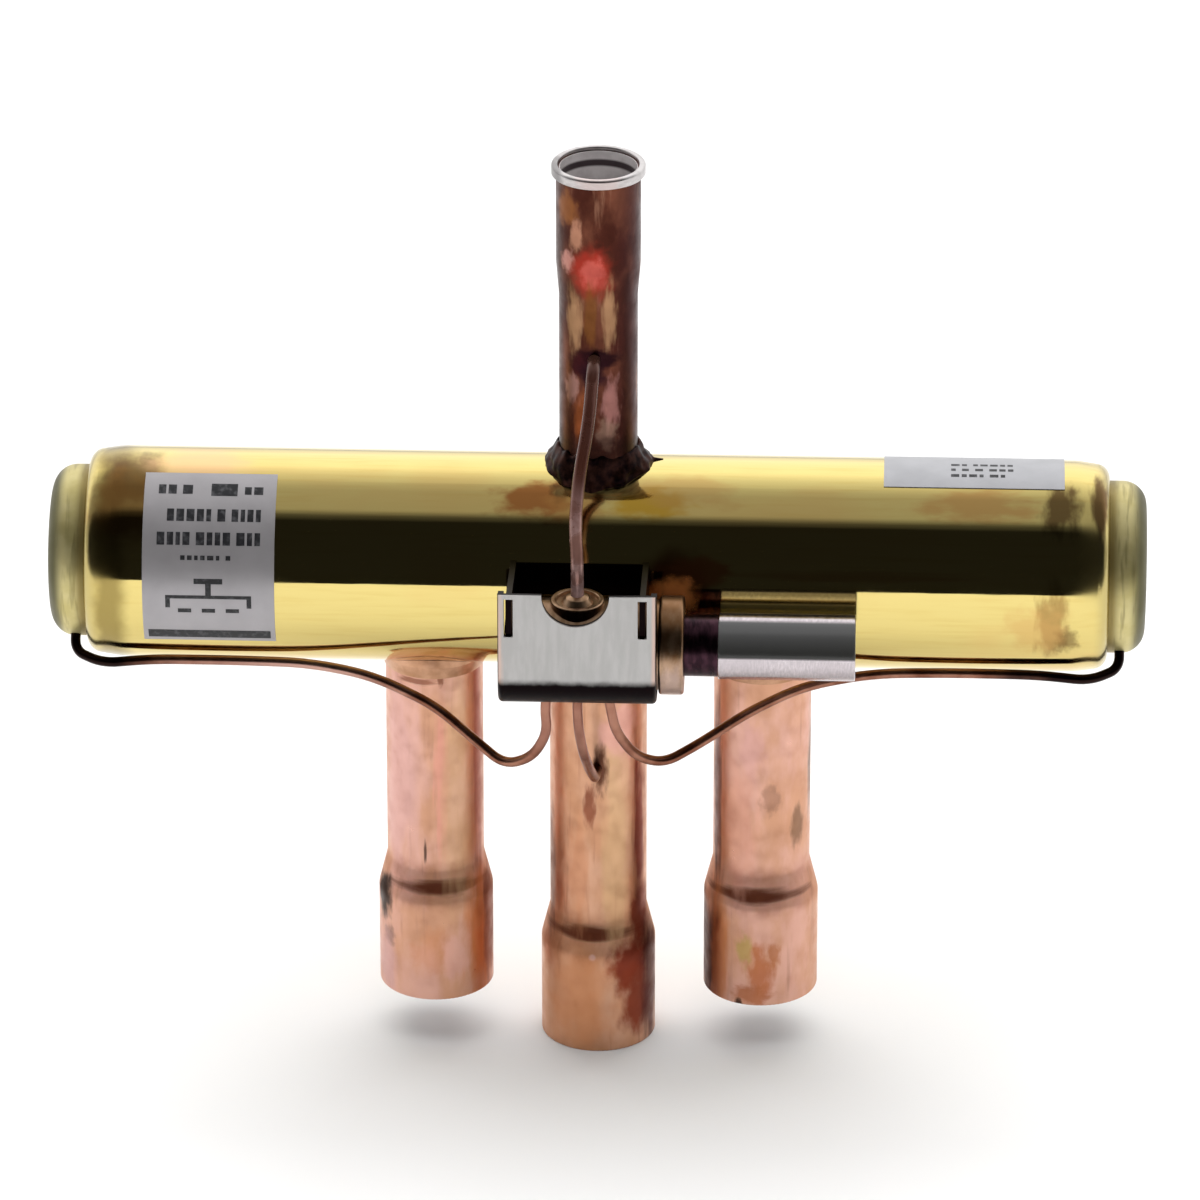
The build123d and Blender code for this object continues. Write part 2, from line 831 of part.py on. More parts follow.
def cap_exit(side):
    """The end of a side line in its cap, and the first point outside it."""
    down, front = cos(radians(cap_line_angle)), sin(radians(cap_line_angle))
    inside, outside = cap_od / 2 - cap_wall + 0.3, cap_od / 2 + cap_line_stub
    return [
        (side * cap_line_x, inside * front, -inside * down),
        (side * cap_line_x, outside * front, -outside * down),
    ]


def discharge_capillary():
    """Feed line from the discharge tube down to the top of the pilot."""
    route = [
        (feed_x, discharge_od / 2 - line_into_wall, feed_level),
        (feed_x, 12.8, feed_level),
        (-1.4, 15.0, 38.5),
        (-3.2, 20.0, 28.6),
        (-3.8, 27.6, 21.6),
        (pilot_x, pilot_front, 14.6),
        (pilot_x, pilot_front, -pilot_drop + pilot_bore / 2 + 0.4),
    ]
    return bent_line(line_points(route), discharge_capillary_od, discharge_capillary_bore)


def line_into_pilot(port):
    """The last two points of a line that comes up into one of the pilot's lower ports."""
    end = -pilot_drop + line_end_level
    below = clip_bottom - 3.8
    lean = (port - 1) * tan(radians(line_lean))
    return [
        (pilot_ports[port] + lean * (end - below), pilot_front, below),
        (pilot_ports[port], pilot_front, end),
    ]


def left_capillary():
    """Line from the left cap, along the main tube and in front of the left stub."""
    route = cap_exit(-1) + [
        (-103.6, 16.6, -18.4),
        (-93.0, 16.5, -17.3),
        (-76.0, 16.2, -17.4),
        (-60.0, 16.5, -17.6),
        (-46.6, 18.4, -19.4),
        (-33.4, 22.0, -24.4),
        (-25.4, 25.6, -30.0),
        (-18.6, 29.0, -34.4),
        (-12.6, 31.6, -31.2),
        (-9.4, 32.8, -24.8),
    ]
    return bent_line(line_points(route + line_into_pilot(0)), capillary_od, capillary_bore)


def right_capillary():
    """Line from the right cap, behind the plunger tube and in front of the right stub."""
    route = cap_exit(1) + [
        (103.6, 16.6, -18.6),
        (93.0, 16.4, -17.6),
        (76.0, 16.2, -17.5),
        (58.0, 16.5, -17.8),
        (43.4, 18.4, -20.2),
        (31.8, 21.4, -25.2),
        (22.4, 25.2, -30.4),
        (14.8, 29.0, -33.4),
        (8.8, 31.8, -30.4),
        (4.8, 32.9, -24.0),
    ]
    return bent_line(line_points(route + line_into_pilot(2)), capillary_od, capillary_bore)


def suction_capillary():
    """Short line from the pilot down and back into the suction tube."""
    route = [
        line_into_pilot(1)[-1],
        (pilot_x, pilot_front, -22.0),
        (pilot_x + 0.9, pilot_front - 3.6, -30.6),
        (-1.0, 23.4, -38.0),
        (-0.1, 17.2, -43.2),
        (0.0, 13.4, suction_line_level),
        (0.0, port_tube_od / 2 - line_into_wall, suction_line_level),
    ]
    return bent_line(line_points(route), capillary_od, capillary_bore)


# ---- every node ------------------------------------------------------------------------------


def both_sides(name, piece):
    """The right and the left copy of a piston's piece, at the shuttle's rest place."""
    return {
        f"left_{name}": rest_shift * mirror(piece, Plane.YZ),
        f"right_{name}": rest_shift * piece,
    }


cap = end_cap()
nodes = {
    "main_tube": main_tube(),
    "left_end_cap": body_place * mirror(cap, Plane.YZ),
    "right_end_cap": body_place * cap,
    "valve_seat": valve_seat(),
    "discharge_tube": discharge_tube(),
    "discharge_collar": discharge_collar(),
    "left_port_tube": port_tube(-port_pitch, side_reach),
    "suction_tube": suction_tube(),
    "right_port_tube": port_tube(port_pitch, side_reach),
    "discharge_braze": discharge_braze(),
    "port_braze_rings": port_braze_rings(),
    "pilot_saddle": pilot_saddle(),
    "pilot_clip": pilot_clip(),
    "pilot_body": pilot_body(),
    "pilot_inlet_boss": pilot_inlet_boss(),
    "pilot_seat": pilot_seat(),
    "neck_adapter": neck_adapter(),
    "plunger_tube": plunger_tube(),
    "fixed_core": fixed_core(),
    "discharge_capillary": discharge_capillary(),
    "suction_capillary": suction_capillary(),
    "left_capillary": left_capillary(),
    "right_capillary": right_capillary(),
    "nameplate": foil_plate(nameplate_span, nameplate_angles),
    "top_label": foil_plate(top_label_span, top_label_angles),
    "main_slide": main_slide(),
    "slide_frame": slide_frame(),
    "pilot_plunger": pilot_plunger(),
    "pilot_carrier": pilot_carrier(),
    "pilot_slide": pilot_slide(),
    "pilot_leaf_spring": pilot_leaf_spring(),
    "return_spring": return_spring(),
}
for name, make in {
    "piston_plate": piston_plate,
    "seal_spreader": seal_spreader,
    "piston_seal": piston_seal,
    "piston_cover": piston_cover,
    "piston_screws": piston_screws,
}.items():
    nodes.update(both_sides(name, make()))

for name, solid in nodes.items():
    export_step(solid, f"parts/{name}.step")
print(f"{len(nodes)} nodes, stroke {stroke:.2f}, pilot travel {plunger_travel:.2f}")
print(f"plunger tube x {stem_start:.2f} to {stem_end:.2f}")
print(f"pilot axis y {-pilot_front:.4f}, z {axis_z - pilot_drop:.4f}")
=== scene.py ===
# %% [markdown]
# Four way reversing valve, ready to be finished
#
# A heat pump turns from heating to cooling by swapping two of its pipes, and this valve does the swap. A brass tube
# holds a piston assembly, a small pilot valve in front steers it, and copper stubs take the pipes. The shapes come
# from the CAD model, in metres, and stay as they are. This script gives them their metals, their burns and stains,
# the printed plates, and the light that makes polished brass look like brass.

# %% Load the CAD model
import random
from math import atan2, cos, exp, pi, radians, sin

import bmesh
import bpy
from mathutils import Matrix, Vector, noise


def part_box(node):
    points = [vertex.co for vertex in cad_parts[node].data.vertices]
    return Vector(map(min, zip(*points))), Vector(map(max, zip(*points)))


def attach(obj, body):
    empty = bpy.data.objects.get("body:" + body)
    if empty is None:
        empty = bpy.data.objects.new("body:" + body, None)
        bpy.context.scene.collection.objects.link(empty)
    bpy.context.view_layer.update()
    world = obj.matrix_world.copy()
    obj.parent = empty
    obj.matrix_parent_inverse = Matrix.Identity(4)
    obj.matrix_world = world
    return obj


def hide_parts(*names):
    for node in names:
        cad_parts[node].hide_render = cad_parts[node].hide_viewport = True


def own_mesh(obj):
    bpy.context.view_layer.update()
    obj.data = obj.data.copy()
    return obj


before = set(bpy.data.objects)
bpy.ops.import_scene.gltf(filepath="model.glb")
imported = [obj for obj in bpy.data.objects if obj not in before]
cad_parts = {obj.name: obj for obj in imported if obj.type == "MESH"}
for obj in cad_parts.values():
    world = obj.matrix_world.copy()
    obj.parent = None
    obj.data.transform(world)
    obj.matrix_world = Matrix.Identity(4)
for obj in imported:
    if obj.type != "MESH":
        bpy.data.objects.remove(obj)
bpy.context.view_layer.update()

# %% [markdown]
# Where things are
#
# The main tube lies along X. Its middle height and its radius give the coordinates that wrap patterns round it, and
# they are read from the boxes of the CAD nodes. Only the single stains and spots of painted light further down have
# places listed one by one. They are metres on the part too.

# %% Key places
tube_low, tube_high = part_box("main_tube")
AXIS_Z = (tube_low[2] + tube_high[2]) / 2
TUBE_R = (tube_high[2] - tube_low[2]) / 2
HALF = tube_high[0]
stem_low, stem_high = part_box("plunger_tube")
PILOT_Y = (stem_low[1] + stem_high[1]) / 2
PILOT_Z = (stem_low[2] + stem_high[2]) / 2
PITCH = (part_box("right_port_tube")[1][0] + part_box("right_port_tube")[0][0]) / 2
print(f"tube axis at {AXIS_Z:.4f} m, radius {TUBE_R:.4f} m, port pitch {PITCH:.4f} m")

# %% [markdown]
# Small tools for finishes
#
# A finish here is a Principled shader whose colour, roughness and bump come from noise and from placed stains and
# painted light. The helpers below each add a few nodes. They all start from Object coordinates, which are metres on
# the part, so a scale of 400 means features of about 2.5 mm.

# %% Node helpers
def add(tree, kind, **settings):
    """A new node with its settings."""
    made = tree.nodes.new(kind)
    for key, value in settings.items():
        setattr(made, key, value)
    return made


def plug(tree, value, socket):
    """Links a socket, or sets a plain value."""
    if isinstance(value, bpy.types.NodeSocket):
        tree.links.new(value, socket)
    else:
        socket.default_value = value


def maths(tree, operation, first, second=0.0):
    """One Math node."""
    made = add(tree, "ShaderNodeMath", operation=operation)
    plug(tree, first, made.inputs[0])
    plug(tree, second, made.inputs[1])
    return made.outputs[0]


def share(tree, value, low, high):
    """The value's way from low to high, held between 0 and 1."""
    made = add(tree, "ShaderNodeMapRange", interpolation_type="SMOOTHSTEP")
    plug(tree, value, made.inputs["Value"])
    made.inputs["From Min"].default_value = low
    made.inputs["From Max"].default_value = high
    return made.outputs["Result"]


def mixed(tree, factor, first, second):
    """A colour between two others."""
    made = add(tree, "ShaderNodeMix", data_type="RGBA")
    plug(tree, factor, made.inputs["Factor"])
    for value, socket in ((first, made.inputs["A"]), (second, made.inputs["B"])):
        colour = (*value, 1) if isinstance(value, tuple) else value
        plug(tree, colour, [s for s in made.inputs if s.name == socket.name and s.type == "RGBA"][0])
    return [s for s in made.outputs if s.type == "RGBA"][0]


print("colour, number and link helpers ready")

# %% Pattern helpers
def grain(tree, scale, detail=3.0, stretch=(1, 1, 1), roughness=0.55):
    """Noise from 0 to 1 on the part's own coordinates."""
    where = add(tree, "ShaderNodeTexCoord").outputs["Object"]
    spread = add(tree, "ShaderNodeMapping")
    spread.inputs["Scale"].default_value = stretch
    tree.links.new(where, spread.inputs["Vector"])
    mottle = add(tree, "ShaderNodeTexNoise")
    mottle.inputs["Scale"].default_value = scale
    mottle.inputs["Detail"].default_value = detail
    mottle.inputs["Roughness"].default_value = roughness
    tree.links.new(spread.outputs[0], mottle.inputs["Vector"])
    return mottle.outputs["Fac"]


def patch(tree, centre, size, edge=0.45, ragged=0.4):
    """1 inside a soft ellipsoid about a place, 0 outside. The noise is stretched with it, so its edge wanders."""
    where = add(tree, "ShaderNodeTexCoord").outputs["Object"]
    shift = add(tree, "ShaderNodeMapping")
    shift.inputs["Scale"].default_value = [1 / s for s in size]
    shift.inputs["Location"].default_value = [-c / s for c, s in zip(centre, size)]
    tree.links.new(where, shift.inputs["Vector"])
    length = add(tree, "ShaderNodeVectorMath", operation="LENGTH")
    tree.links.new(shift.outputs[0], length.inputs[0])
    mottle = add(tree, "ShaderNodeTexNoise", noise_dimensions="4D")
    mottle.inputs["Scale"].default_value = 1.3
    mottle.inputs["Detail"].default_value = 4.0
    mottle.inputs["W"].default_value = 1000 * sum(centre)
    tree.links.new(shift.outputs[0], mottle.inputs["Vector"])
    wander = maths(tree, "MULTIPLY", maths(tree, "SUBTRACT", mottle.outputs["Fac"], 0.5), 4 * ragged)
    return share(tree, maths(tree, "ADD", length.outputs["Value"], wander), 1.0 + edge, 1.0 - edge)


def height(tree, axis):
    """One coordinate of the part, in metres."""
    where = add(tree, "ShaderNodeTexCoord").outputs["Object"]
    apart = add(tree, "ShaderNodeSeparateXYZ")
    tree.links.new(where, apart.inputs[0])
    return apart.outputs["XYZ".index(axis)]


def band(tree, axis, low, high, soft, wander=0.0, scale=400):
    """1 between two places along one axis, 0 outside, with soft and perhaps wandering edges."""
    place = height(tree, axis)
    if wander:
        sway = maths(tree, "SUBTRACT", grain(tree, scale), 0.5)
        place = maths(tree, "ADD", place, maths(tree, "MULTIPLY", sway, wander))
    rise = share(tree, place, low - soft, low + soft)
    return maths(tree, "MULTIPLY", rise, share(tree, place, high + soft, high - soft))


print("noise, stain and coordinate helpers ready")

# %% Start and end of a finish
def begin(name, metallic, roughness):
    """A material with its shader's even values set."""
    finish = bpy.data.materials.new(name)
    finish.use_nodes = True
    shader = finish.node_tree.nodes["Principled BSDF"]
    shader.inputs["Metallic"].default_value = metallic
    shader.inputs["Roughness"].default_value = roughness
    return finish, finish.node_tree, shader


def bumps(tree, shader, relief, depth):
    """Surface relief of a real depth, in metres."""
    bump = add(tree, "ShaderNodeBump")
    bump.inputs["Distance"].default_value = depth
    bump.inputs["Strength"].default_value = 1.0
    plug(tree, relief, bump.inputs["Height"])
    tree.links.new(bump.outputs[0], shader.inputs["Normal"])


def flipped(tree, value, strength):
    """1 less a part of the value."""
    return maths(tree, "SUBTRACT", 1.0, maths(tree, "MULTIPLY", value, strength))


RAGGED = 0.45


def overlaid(tree, colour, overlays):
    """The colour with marks laid over it, real ones and painted light alike: (place, size, colour, strength, and
    perhaps raggedness).
    """
    for centre, size, overlay_colour, strength, *ragged in overlays:
        mask = maths(tree, "MULTIPLY", patch(tree, centre, size, ragged=(ragged or [RAGGED])[0]), strength)
        colour = mixed(tree, mask, colour, overlay_colour)
    return colour


print("finish helpers ready")

# %% [markdown]
# Polished brass of the main tube
#
# Drawn brass is bright, with fine lines along the tube. Flame from brazing leaves it brown and orange near each joint,
# and the flux that dried beside the foot of the discharge tube is dull. The ends, which were spun in over the caps,
# are hazy and olive. The yellow comes from the metal's own colour, and the black and white bands come from the room,
# so the finish keeps a low roughness and only a little bump, and the light at the end does the rest.

# %% Main tube finish
brass_tube, tree, shader = begin("brass_tube", 1.0, 0.06)
fine = grain(tree, 900, 3, stretch=(0.06, 1, 1))
colour = mixed(tree, share(tree, fine, 0.45, 0.8), (0.73, 0.59, 0.215), (0.69, 0.535, 0.18))
tint = share(tree, grain(tree, 45, 3, stretch=(0.5, 1, 1)), 0.52, 0.72)
colour = mixed(tree, maths(tree, "MULTIPLY", tint, 0.45), colour, (0.70, 0.46, 0.16))
OLIVE, BROWN, DARK_BROWN = (0.32, 0.24, 0.075), (0.26, 0.13, 0.035), (0.10, 0.045, 0.018)
ORANGE, PEACH, BLOOM = (0.52, 0.24, 0.07), (0.80, 0.50, 0.26), (0.62, 0.36, 0.12)
top = AXIS_Z + TUBE_R
along = maths(tree, "ABSOLUTE", height(tree, "X"))
end_place = maths(tree, "ADD", height(tree, "X"), maths(tree, "MULTIPLY", grain(tree, 150, 3), 0.004))
inner_side = share(tree, end_place, -HALF + 0.0130, -HALF + 0.0085)
outer_side = share(tree, end_place, -HALF + 0.0030, -HALF + 0.0062)
left_end = maths(tree, "MULTIPLY", inner_side, outer_side)
colour = mixed(tree, maths(tree, "MULTIPLY", left_end, 0.92), colour, OLIVE)
rims = share(tree, along, HALF - 0.0035, HALF - 0.0005)
colour = mixed(tree, maths(tree, "MULTIPLY", rims, 0.7), colour, (0.46, 0.38, 0.17))
print("main tube's base colour:", len(tree.nodes), "nodes")

# %% Burns and flux on the main tube
TUBE_STAINS = [
    ((-0.0125, -0.0120, top - 0.003), (0.007, 0.005, 0.004), (0.42, 0.16, 0.045), 0.95, 0.6),
    ((-0.0075, -0.0100, top - 0.002), (0.002, 0.003, 0.003), DARK_BROWN, 0.8, 0.6),
    ((-0.0040, -0.0135, top - 0.004), (0.006, 0.004, 0.004), ORANGE, 0.7, 0.6),
    ((0.0110, -0.0125, top - 0.0035), (0.007, 0.004, 0.003), (0.62, 0.37, 0.045), 0.95, 0.6),
    ((0.0190, -0.0090, top - 0.0020), (0.010, 0.005, 0.003), BLOOM, 0.5, 0.6),
    ((0.0168, -0.0215, AXIS_Z + 0.003), (0.0075, 0.006, 0.008), (0.30, 0.10, 0.025), 1.0, 0.2),
    ((0.0215, -0.0210, AXIS_Z + 0.0075), (0.0060, 0.006, 0.0025), (0.62, 0.20, 0.06), 0.8, 0.5),
    ((0.0543, -0.0214, AXIS_Z + 0.0068), (0.0230, 0.006, 0.0010), ORANGE, 0.45, 0.5),
    ((0.0790, -0.0118, AXIS_Z + 0.0189), (0.0110, 0.004, 0.0030), BLOOM, 0.8, 0.7),
    ((0.0968, -0.0118, AXIS_Z + 0.0189), (0.0034, 0.006, 0.0060), DARK_BROWN, 0.85, 0.5),
    ((0.1049, -0.0100, AXIS_Z + 0.0195), (0.0018, 0.008, 0.0070), DARK_BROWN, 0.9, 0.4),
    ((0.0953, -0.0215, AXIS_Z - 0.0030), (0.0030, 0.006, 0.0080), BROWN, 0.7, 0.6),
    ((0.0983, -0.0211, AXIS_Z - 0.0070), (0.0022, 0.006, 0.0030), DARK_BROWN, 0.6, 0.6),
    ((0.0924, -0.0215, AXIS_Z - 0.0050), (0.0060, 0.006, 0.0050), BLOOM, 0.5, 0.6),
    ((-0.0968, -0.0075, AXIS_Z + 0.0206), (0.0065, 0.009, 0.0050), DARK_BROWN, 0.85, 0.4),
    ((-0.0988, -0.0140, AXIS_Z + 0.0168), (0.0075, 0.009, 0.0060), BROWN, 0.8, 0.4),
    ((-0.0830, -0.0030, top - 0.0010), (0.0100, 0.006, 0.0022), PEACH, 0.8, 0.3),
    ((-PITCH, -0.012, AXIS_Z - 0.021), (0.015, 0.012, 0.004), BLOOM, 0.6, 0.4),
    ((0.0000, -0.012, AXIS_Z - 0.021), (0.015, 0.012, 0.004), BROWN, 0.6, 0.4),
    ((PITCH, -0.012, AXIS_Z - 0.021), (0.015, 0.012, 0.004), BLOOM, 0.6, 0.4),
]
colour = overlaid(tree, colour, TUBE_STAINS)
plug(tree, colour, shader.inputs["Base Color"])
flux = patch(tree, (0.0170, -0.0215, AXIS_Z + 0.0022), (0.0040, 0.006, 0.0036), ragged=0.35)
plug(tree, flipped(tree, flux, 0.7), shader.inputs["Metallic"])
hazy = maths(tree, "MULTIPLY", share(tree, along, HALF - 0.0110, HALF - 0.0020), 0.16)
polish = share(tree, grain(tree, 40, 2), -0.28, 5.2)
plug(tree, maths(tree, "ADD", hazy, polish), shader.inputs["Roughness"])
bumps(tree, shader, fine, 0.000004)
print("brass_tube:", len(TUBE_STAINS), "stains,", len(tree.nodes), "nodes")

# %% [markdown]
# Pressed end caps
#
# The caps are the same metal, pressed and left satin, so their reflections are soft and khaki instead of black and
# white. Each cap is darker next to the rim where the tube is spun over it, and the press left thin dark rings. The
# outer end of each cap is painted darker still, a painted shade for its end face.

# %% End cap finish
brass_cap, tree, shader = begin("brass_cap", 0.85, 0.3)
tone = grain(tree, 120, 4)
colour = mixed(tree, share(tree, tone, 0.35, 0.65), (0.56, 0.48, 0.20), (0.68, 0.60, 0.30))
edge = maths(tree, "ABSOLUTE", height(tree, "X"))
colour = mixed(tree, share(tree, edge, HALF + 0.0026, HALF + 0.0004), colour, (0.30, 0.23, 0.08))
rings = share(tree, grain(tree, 900, 2, stretch=(1, 0.1, 0.1)), 0.52, 0.70)
colour = mixed(tree, maths(tree, "MULTIPLY", rings, 0.5), colour, (0.24, 0.19, 0.07))
# Painted shade: the outer end of each cap is painted dark, standing for its end face in shadow.
colour = mixed(tree, share(tree, edge, HALF + 0.0040, HALF + 0.0066), colour, (0.13, 0.12, 0.06))
plug(tree, colour, shader.inputs["Base Color"])
plug(tree, share(tree, tone, -1.1, 2.2), shader.inputs["Roughness"])
bumps(tree, shader, grain(tree, 1500, 2), 0.00001)
print("brass_cap:", len(tree.nodes), "nodes")

# %% [markdown]
# Copper stubs
#
# Annealed copper is salmon pink with a thin, uneven skin of oxide, streaked along the tube. It is redder and darker
# where the socket was expanded. A dark crescent is painted round the front of each shoulder, a painted reflection of
# the dark room, and the metal there is also duller. All three stubs share one helper and differ in their colours and
# in their lists of stains and painted reflections.

# %% Copper helper
SALMON, ROSE, REFLECTION_RED_BROWN = (0.66, 0.35, 0.22), (0.74, 0.42, 0.33), (0.16, 0.045, 0.022)


def copper(name, shoulder, base, bloom, streak, overlays):
    """A stub's finish: bloom on copper, thin streaks along it, a dull shoulder, and its own list of marks and painted
    reflections.
    """
    finish, tree, shader = begin(name, 1.0, 0.32)
    colour = mixed(tree, share(tree, grain(tree, 110, 4, stretch=(1, 1, 0.45)), 0.38, 0.64), base, bloom)
    streaks = grain(tree, 420, 4, stretch=(1, 1, 0.10))
    colour = mixed(tree, maths(tree, "MULTIPLY", share(tree, streaks, 0.56, 0.80), 0.8), colour, streak)
    colour = overlaid(tree, colour, overlays)
    plug(tree, colour, shader.inputs["Base Color"])
    dull = maths(tree, "MULTIPLY", band(tree, "Z", shoulder - 0.005, shoulder + 0.005, 0.002), 0.22)
    plug(tree, maths(tree, "ADD", share(tree, grain(tree, 300, 4), -0.6, 1.9), dull), shader.inputs["Roughness"])
    bumps(tree, shader, grain(tree, 700, 4), 0.00003)
    print(name + ":", len(tree.nodes), "nodes")
    return finish


def shoulder_reflection(x, level, reach=0.0075, dark=REFLECTION_RED_BROWN):
    """Painted reflection: the dark crescent round the front of a shoulder, thick in the middle, thin at the sides."""
    return [
        ((x, -0.011, level), (reach, 0.0045, 0.0016), dark, 0.95, 0.25),
        ((x, -0.008, level - 0.0004), (reach * 1.55, 0.009, 0.0010), dark, 0.7, 0.3),
    ]


# %% Left stub
SHOULDER = 0.0266
side_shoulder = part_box("left_port_tube")[0][2] + SHOULDER
BLACK, COPPER_DARK = (0.030, 0.016, 0.012), (0.26, 0.07, 0.030)
TAN, PINK, FLAME = (0.70, 0.44, 0.24), (0.80, 0.46, 0.40), (0.66, 0.24, 0.085)
# The list starts with the shoulder's painted reflection, and the rest are stains.
LEFT_STAINS_AND_REFLECTION = shoulder_reflection(-0.0325, side_shoulder) + [
    ((-0.0420, -0.0078, 0.0657), (0.0040, 0.006, 0.022), (0.72, 0.42, 0.38), 0.7),
    ((-0.0329, -0.0100, 0.0636), (0.0014, 0.004, 0.016), (0.80, 0.36, 0.28), 0.7),
    ((-0.0293, -0.0085, 0.0595), (0.0030, 0.006, 0.030), TAN, 0.5),
    ((-0.0255, -0.0045, 0.0657), (0.0010, 0.005, 0.028), (0.34, 0.10, 0.07), 0.8),
    ((-0.0365, -0.0102, 0.0464), (0.0003, 0.002, 0.0026), BLACK, 0.8, 0.2),
    ((-0.0255, -0.0050, 0.0258), (0.0028, 0.008, 0.013), FLAME, 0.85),
    ((-0.0233, -0.0020, 0.0268), (0.0012, 0.008, 0.015), COPPER_DARK, 0.9),
    ((-0.0457, -0.0052, 0.0343), (0.0018, 0.004, 0.0052), BLACK, 0.95),
    ((-0.0445, -0.0080, 0.0250), (0.0012, 0.003, 0.0022), BLACK, 0.6),
    ((-0.0344, -0.0121, 0.0232), (0.0040, 0.004, 0.0050), FLAME, 0.35),
    ((-0.0304, -0.0113, 0.0227), (0.0028, 0.004, 0.0060), PINK, 0.6),
    ((-0.0445, -0.0050, 0.0185), (0.0020, 0.006, 0.0080), (0.62, 0.36, 0.34), 0.7),
    ((-0.0379, -0.0098, 0.0868), (0.0042, 0.003, 0.0007), (0.25, 0.09, 0.05), 0.8, 0.4),
    ((-0.0329, -0.0100, 0.0878), (0.0006, 0.003, 0.0018), (0.25, 0.09, 0.05), 0.8, 0.4),
]
left_copper = copper("left_copper", side_shoulder, SALMON, ROSE, (0.50, 0.25, 0.17), LEFT_STAINS_AND_REFLECTION)

# %% Suction stub
# The list starts with the shoulder's painted reflection, and the rest are stains.
SUCTION_STAINS_AND_REFLECTION = shoulder_reflection(-0.0012, SHOULDER + 0.0012) + [
    ((0.0042, -0.0094, 0.0483), (0.0030, 0.005, 0.022), TAN, 0.75),
    ((0.0049, -0.0091, 0.0758), (0.0040, 0.004, 0.0060), (0.80, 0.42, 0.36), 0.75),
    ((-0.0040, -0.0094, 0.0410), (0.0022, 0.004, 0.012), (0.66, 0.29, 0.15), 0.6),
    ((0.0089, -0.0050, 0.0514), (0.0011, 0.005, 0.016), (0.22, 0.03, 0.020), 0.85),
    ((0.0092, -0.0058, 0.0307), (0.0022, 0.006, 0.0060), (0.26, 0.045, 0.02), 0.9),
    ((-0.0097, -0.0036, 0.0389), (0.0008, 0.005, 0.014), (0.16, 0.08, 0.06), 0.7),
    ((0.0074, -0.0098, 0.0201), (0.0042, 0.006, 0.0060), (0.24, 0.035, 0.016), 0.95),
    ((0.0088, -0.0082, 0.0111), (0.0036, 0.006, 0.0070), (0.28, 0.05, 0.022), 0.95),
    ((0.0112, -0.0045, 0.0132), (0.0016, 0.008, 0.0140), (0.10, 0.018, 0.010), 0.9),
    ((-0.0009, -0.0121, 0.0227), (0.0007, 0.002, 0.0007), (0.84, 0.62, 0.58), 0.8, 0.1),
    ((-0.0045, -0.0105, 0.0130), (0.0075, 0.006, 0.0110), (0.68, 0.28, 0.12), 0.6),
    ((0.0007, -0.0102, 0.0672), (0.0015, 0.002, 0.0052), (0.10, 0.035, 0.02), 0.95, 0.4),
    ((-0.0016, -0.0102, 0.0580), (0.0013, 0.002, 0.0046), (0.28, 0.09, 0.05), 0.9, 0.4),
]
suction_copper = copper(
    "suction_copper", SHOULDER, (0.64, 0.33, 0.19), (0.72, 0.41, 0.27), (0.46, 0.19, 0.11), SUCTION_STAINS_AND_REFLECTION)

# %% Right stub
# The list starts with the shoulder's painted reflection, and the rest are stains.
RIGHT_STAINS_AND_REFLECTION = shoulder_reflection(0.0330, side_shoulder - 0.0006) + [
    ((0.0304, -0.0092, 0.0534), (0.0032, 0.005, 0.013), (0.76, 0.38, 0.28), 0.7),
    ((0.0327, -0.0100, 0.0719), (0.0028, 0.004, 0.0060), (0.70, 0.38, 0.34), 0.6),
    ((0.0256, -0.0040, 0.0595), (0.0009, 0.005, 0.020), (0.13, 0.055, 0.045), 0.9),
    ((0.0452, -0.0035, 0.0657), (0.0006, 0.004, 0.012), (0.16, 0.12, 0.10), 0.8),
    ((0.0369, -0.0102, 0.0605), (0.0018, 0.003, 0.0030), (0.42, 0.22, 0.15), 0.7, 0.6),
    ((0.0426, -0.0073, 0.0527), (0.0013, 0.003, 0.0048), (0.22, 0.12, 0.07), 0.75, 0.4),
    ((0.0235, -0.0035, 0.0205), (0.0024, 0.008, 0.0150), (0.07, 0.015, 0.008), 0.97),
    ((0.0265, -0.0080, 0.0227), (0.0020, 0.006, 0.0130), FLAME, 0.75),
    ((0.0317, -0.0117, 0.0250), (0.0016, 0.003, 0.0034), (0.52, 0.36, 0.12), 0.8, 0.5),
    ((0.0353, -0.0122, 0.0201), (0.0026, 0.003, 0.0056), (0.50, 0.16, 0.06), 0.85, 0.5),
    ((0.0379, -0.0118, 0.0240), (0.0012, 0.003, 0.0028), (0.50, 0.18, 0.07), 0.7, 0.5),
    ((0.0332, -0.0121, 0.0143), (0.0036, 0.003, 0.0022), (0.46, 0.15, 0.06), 0.8, 0.5),
    ((0.0304, -0.0113, 0.0120), (0.0007, 0.002, 0.0012), BLACK, 0.9, 0.3),
]
right_copper = copper("right_copper", side_shoulder, SALMON, ROSE, (0.52, 0.27, 0.19), RIGHT_STAINS_AND_REFLECTION)

# %% [markdown]
# Burnt copper of the discharge tube
#
# This stub was heated three times: for its socket, its foot and the feed line. The copper went brown and purple, with
# a red blotch where the flame cleaned it and a black one round the feed line's joint. Three pale pink and tan spots
# below the joint are painted highlights. Inside the mouth the wall is pale, with one dark line painted round it as a
# painted shadow, and painted shade makes it darker further down. One material covers both: the distance from the
# stub's axis, which is the Z axis, tells the inside from the outside.

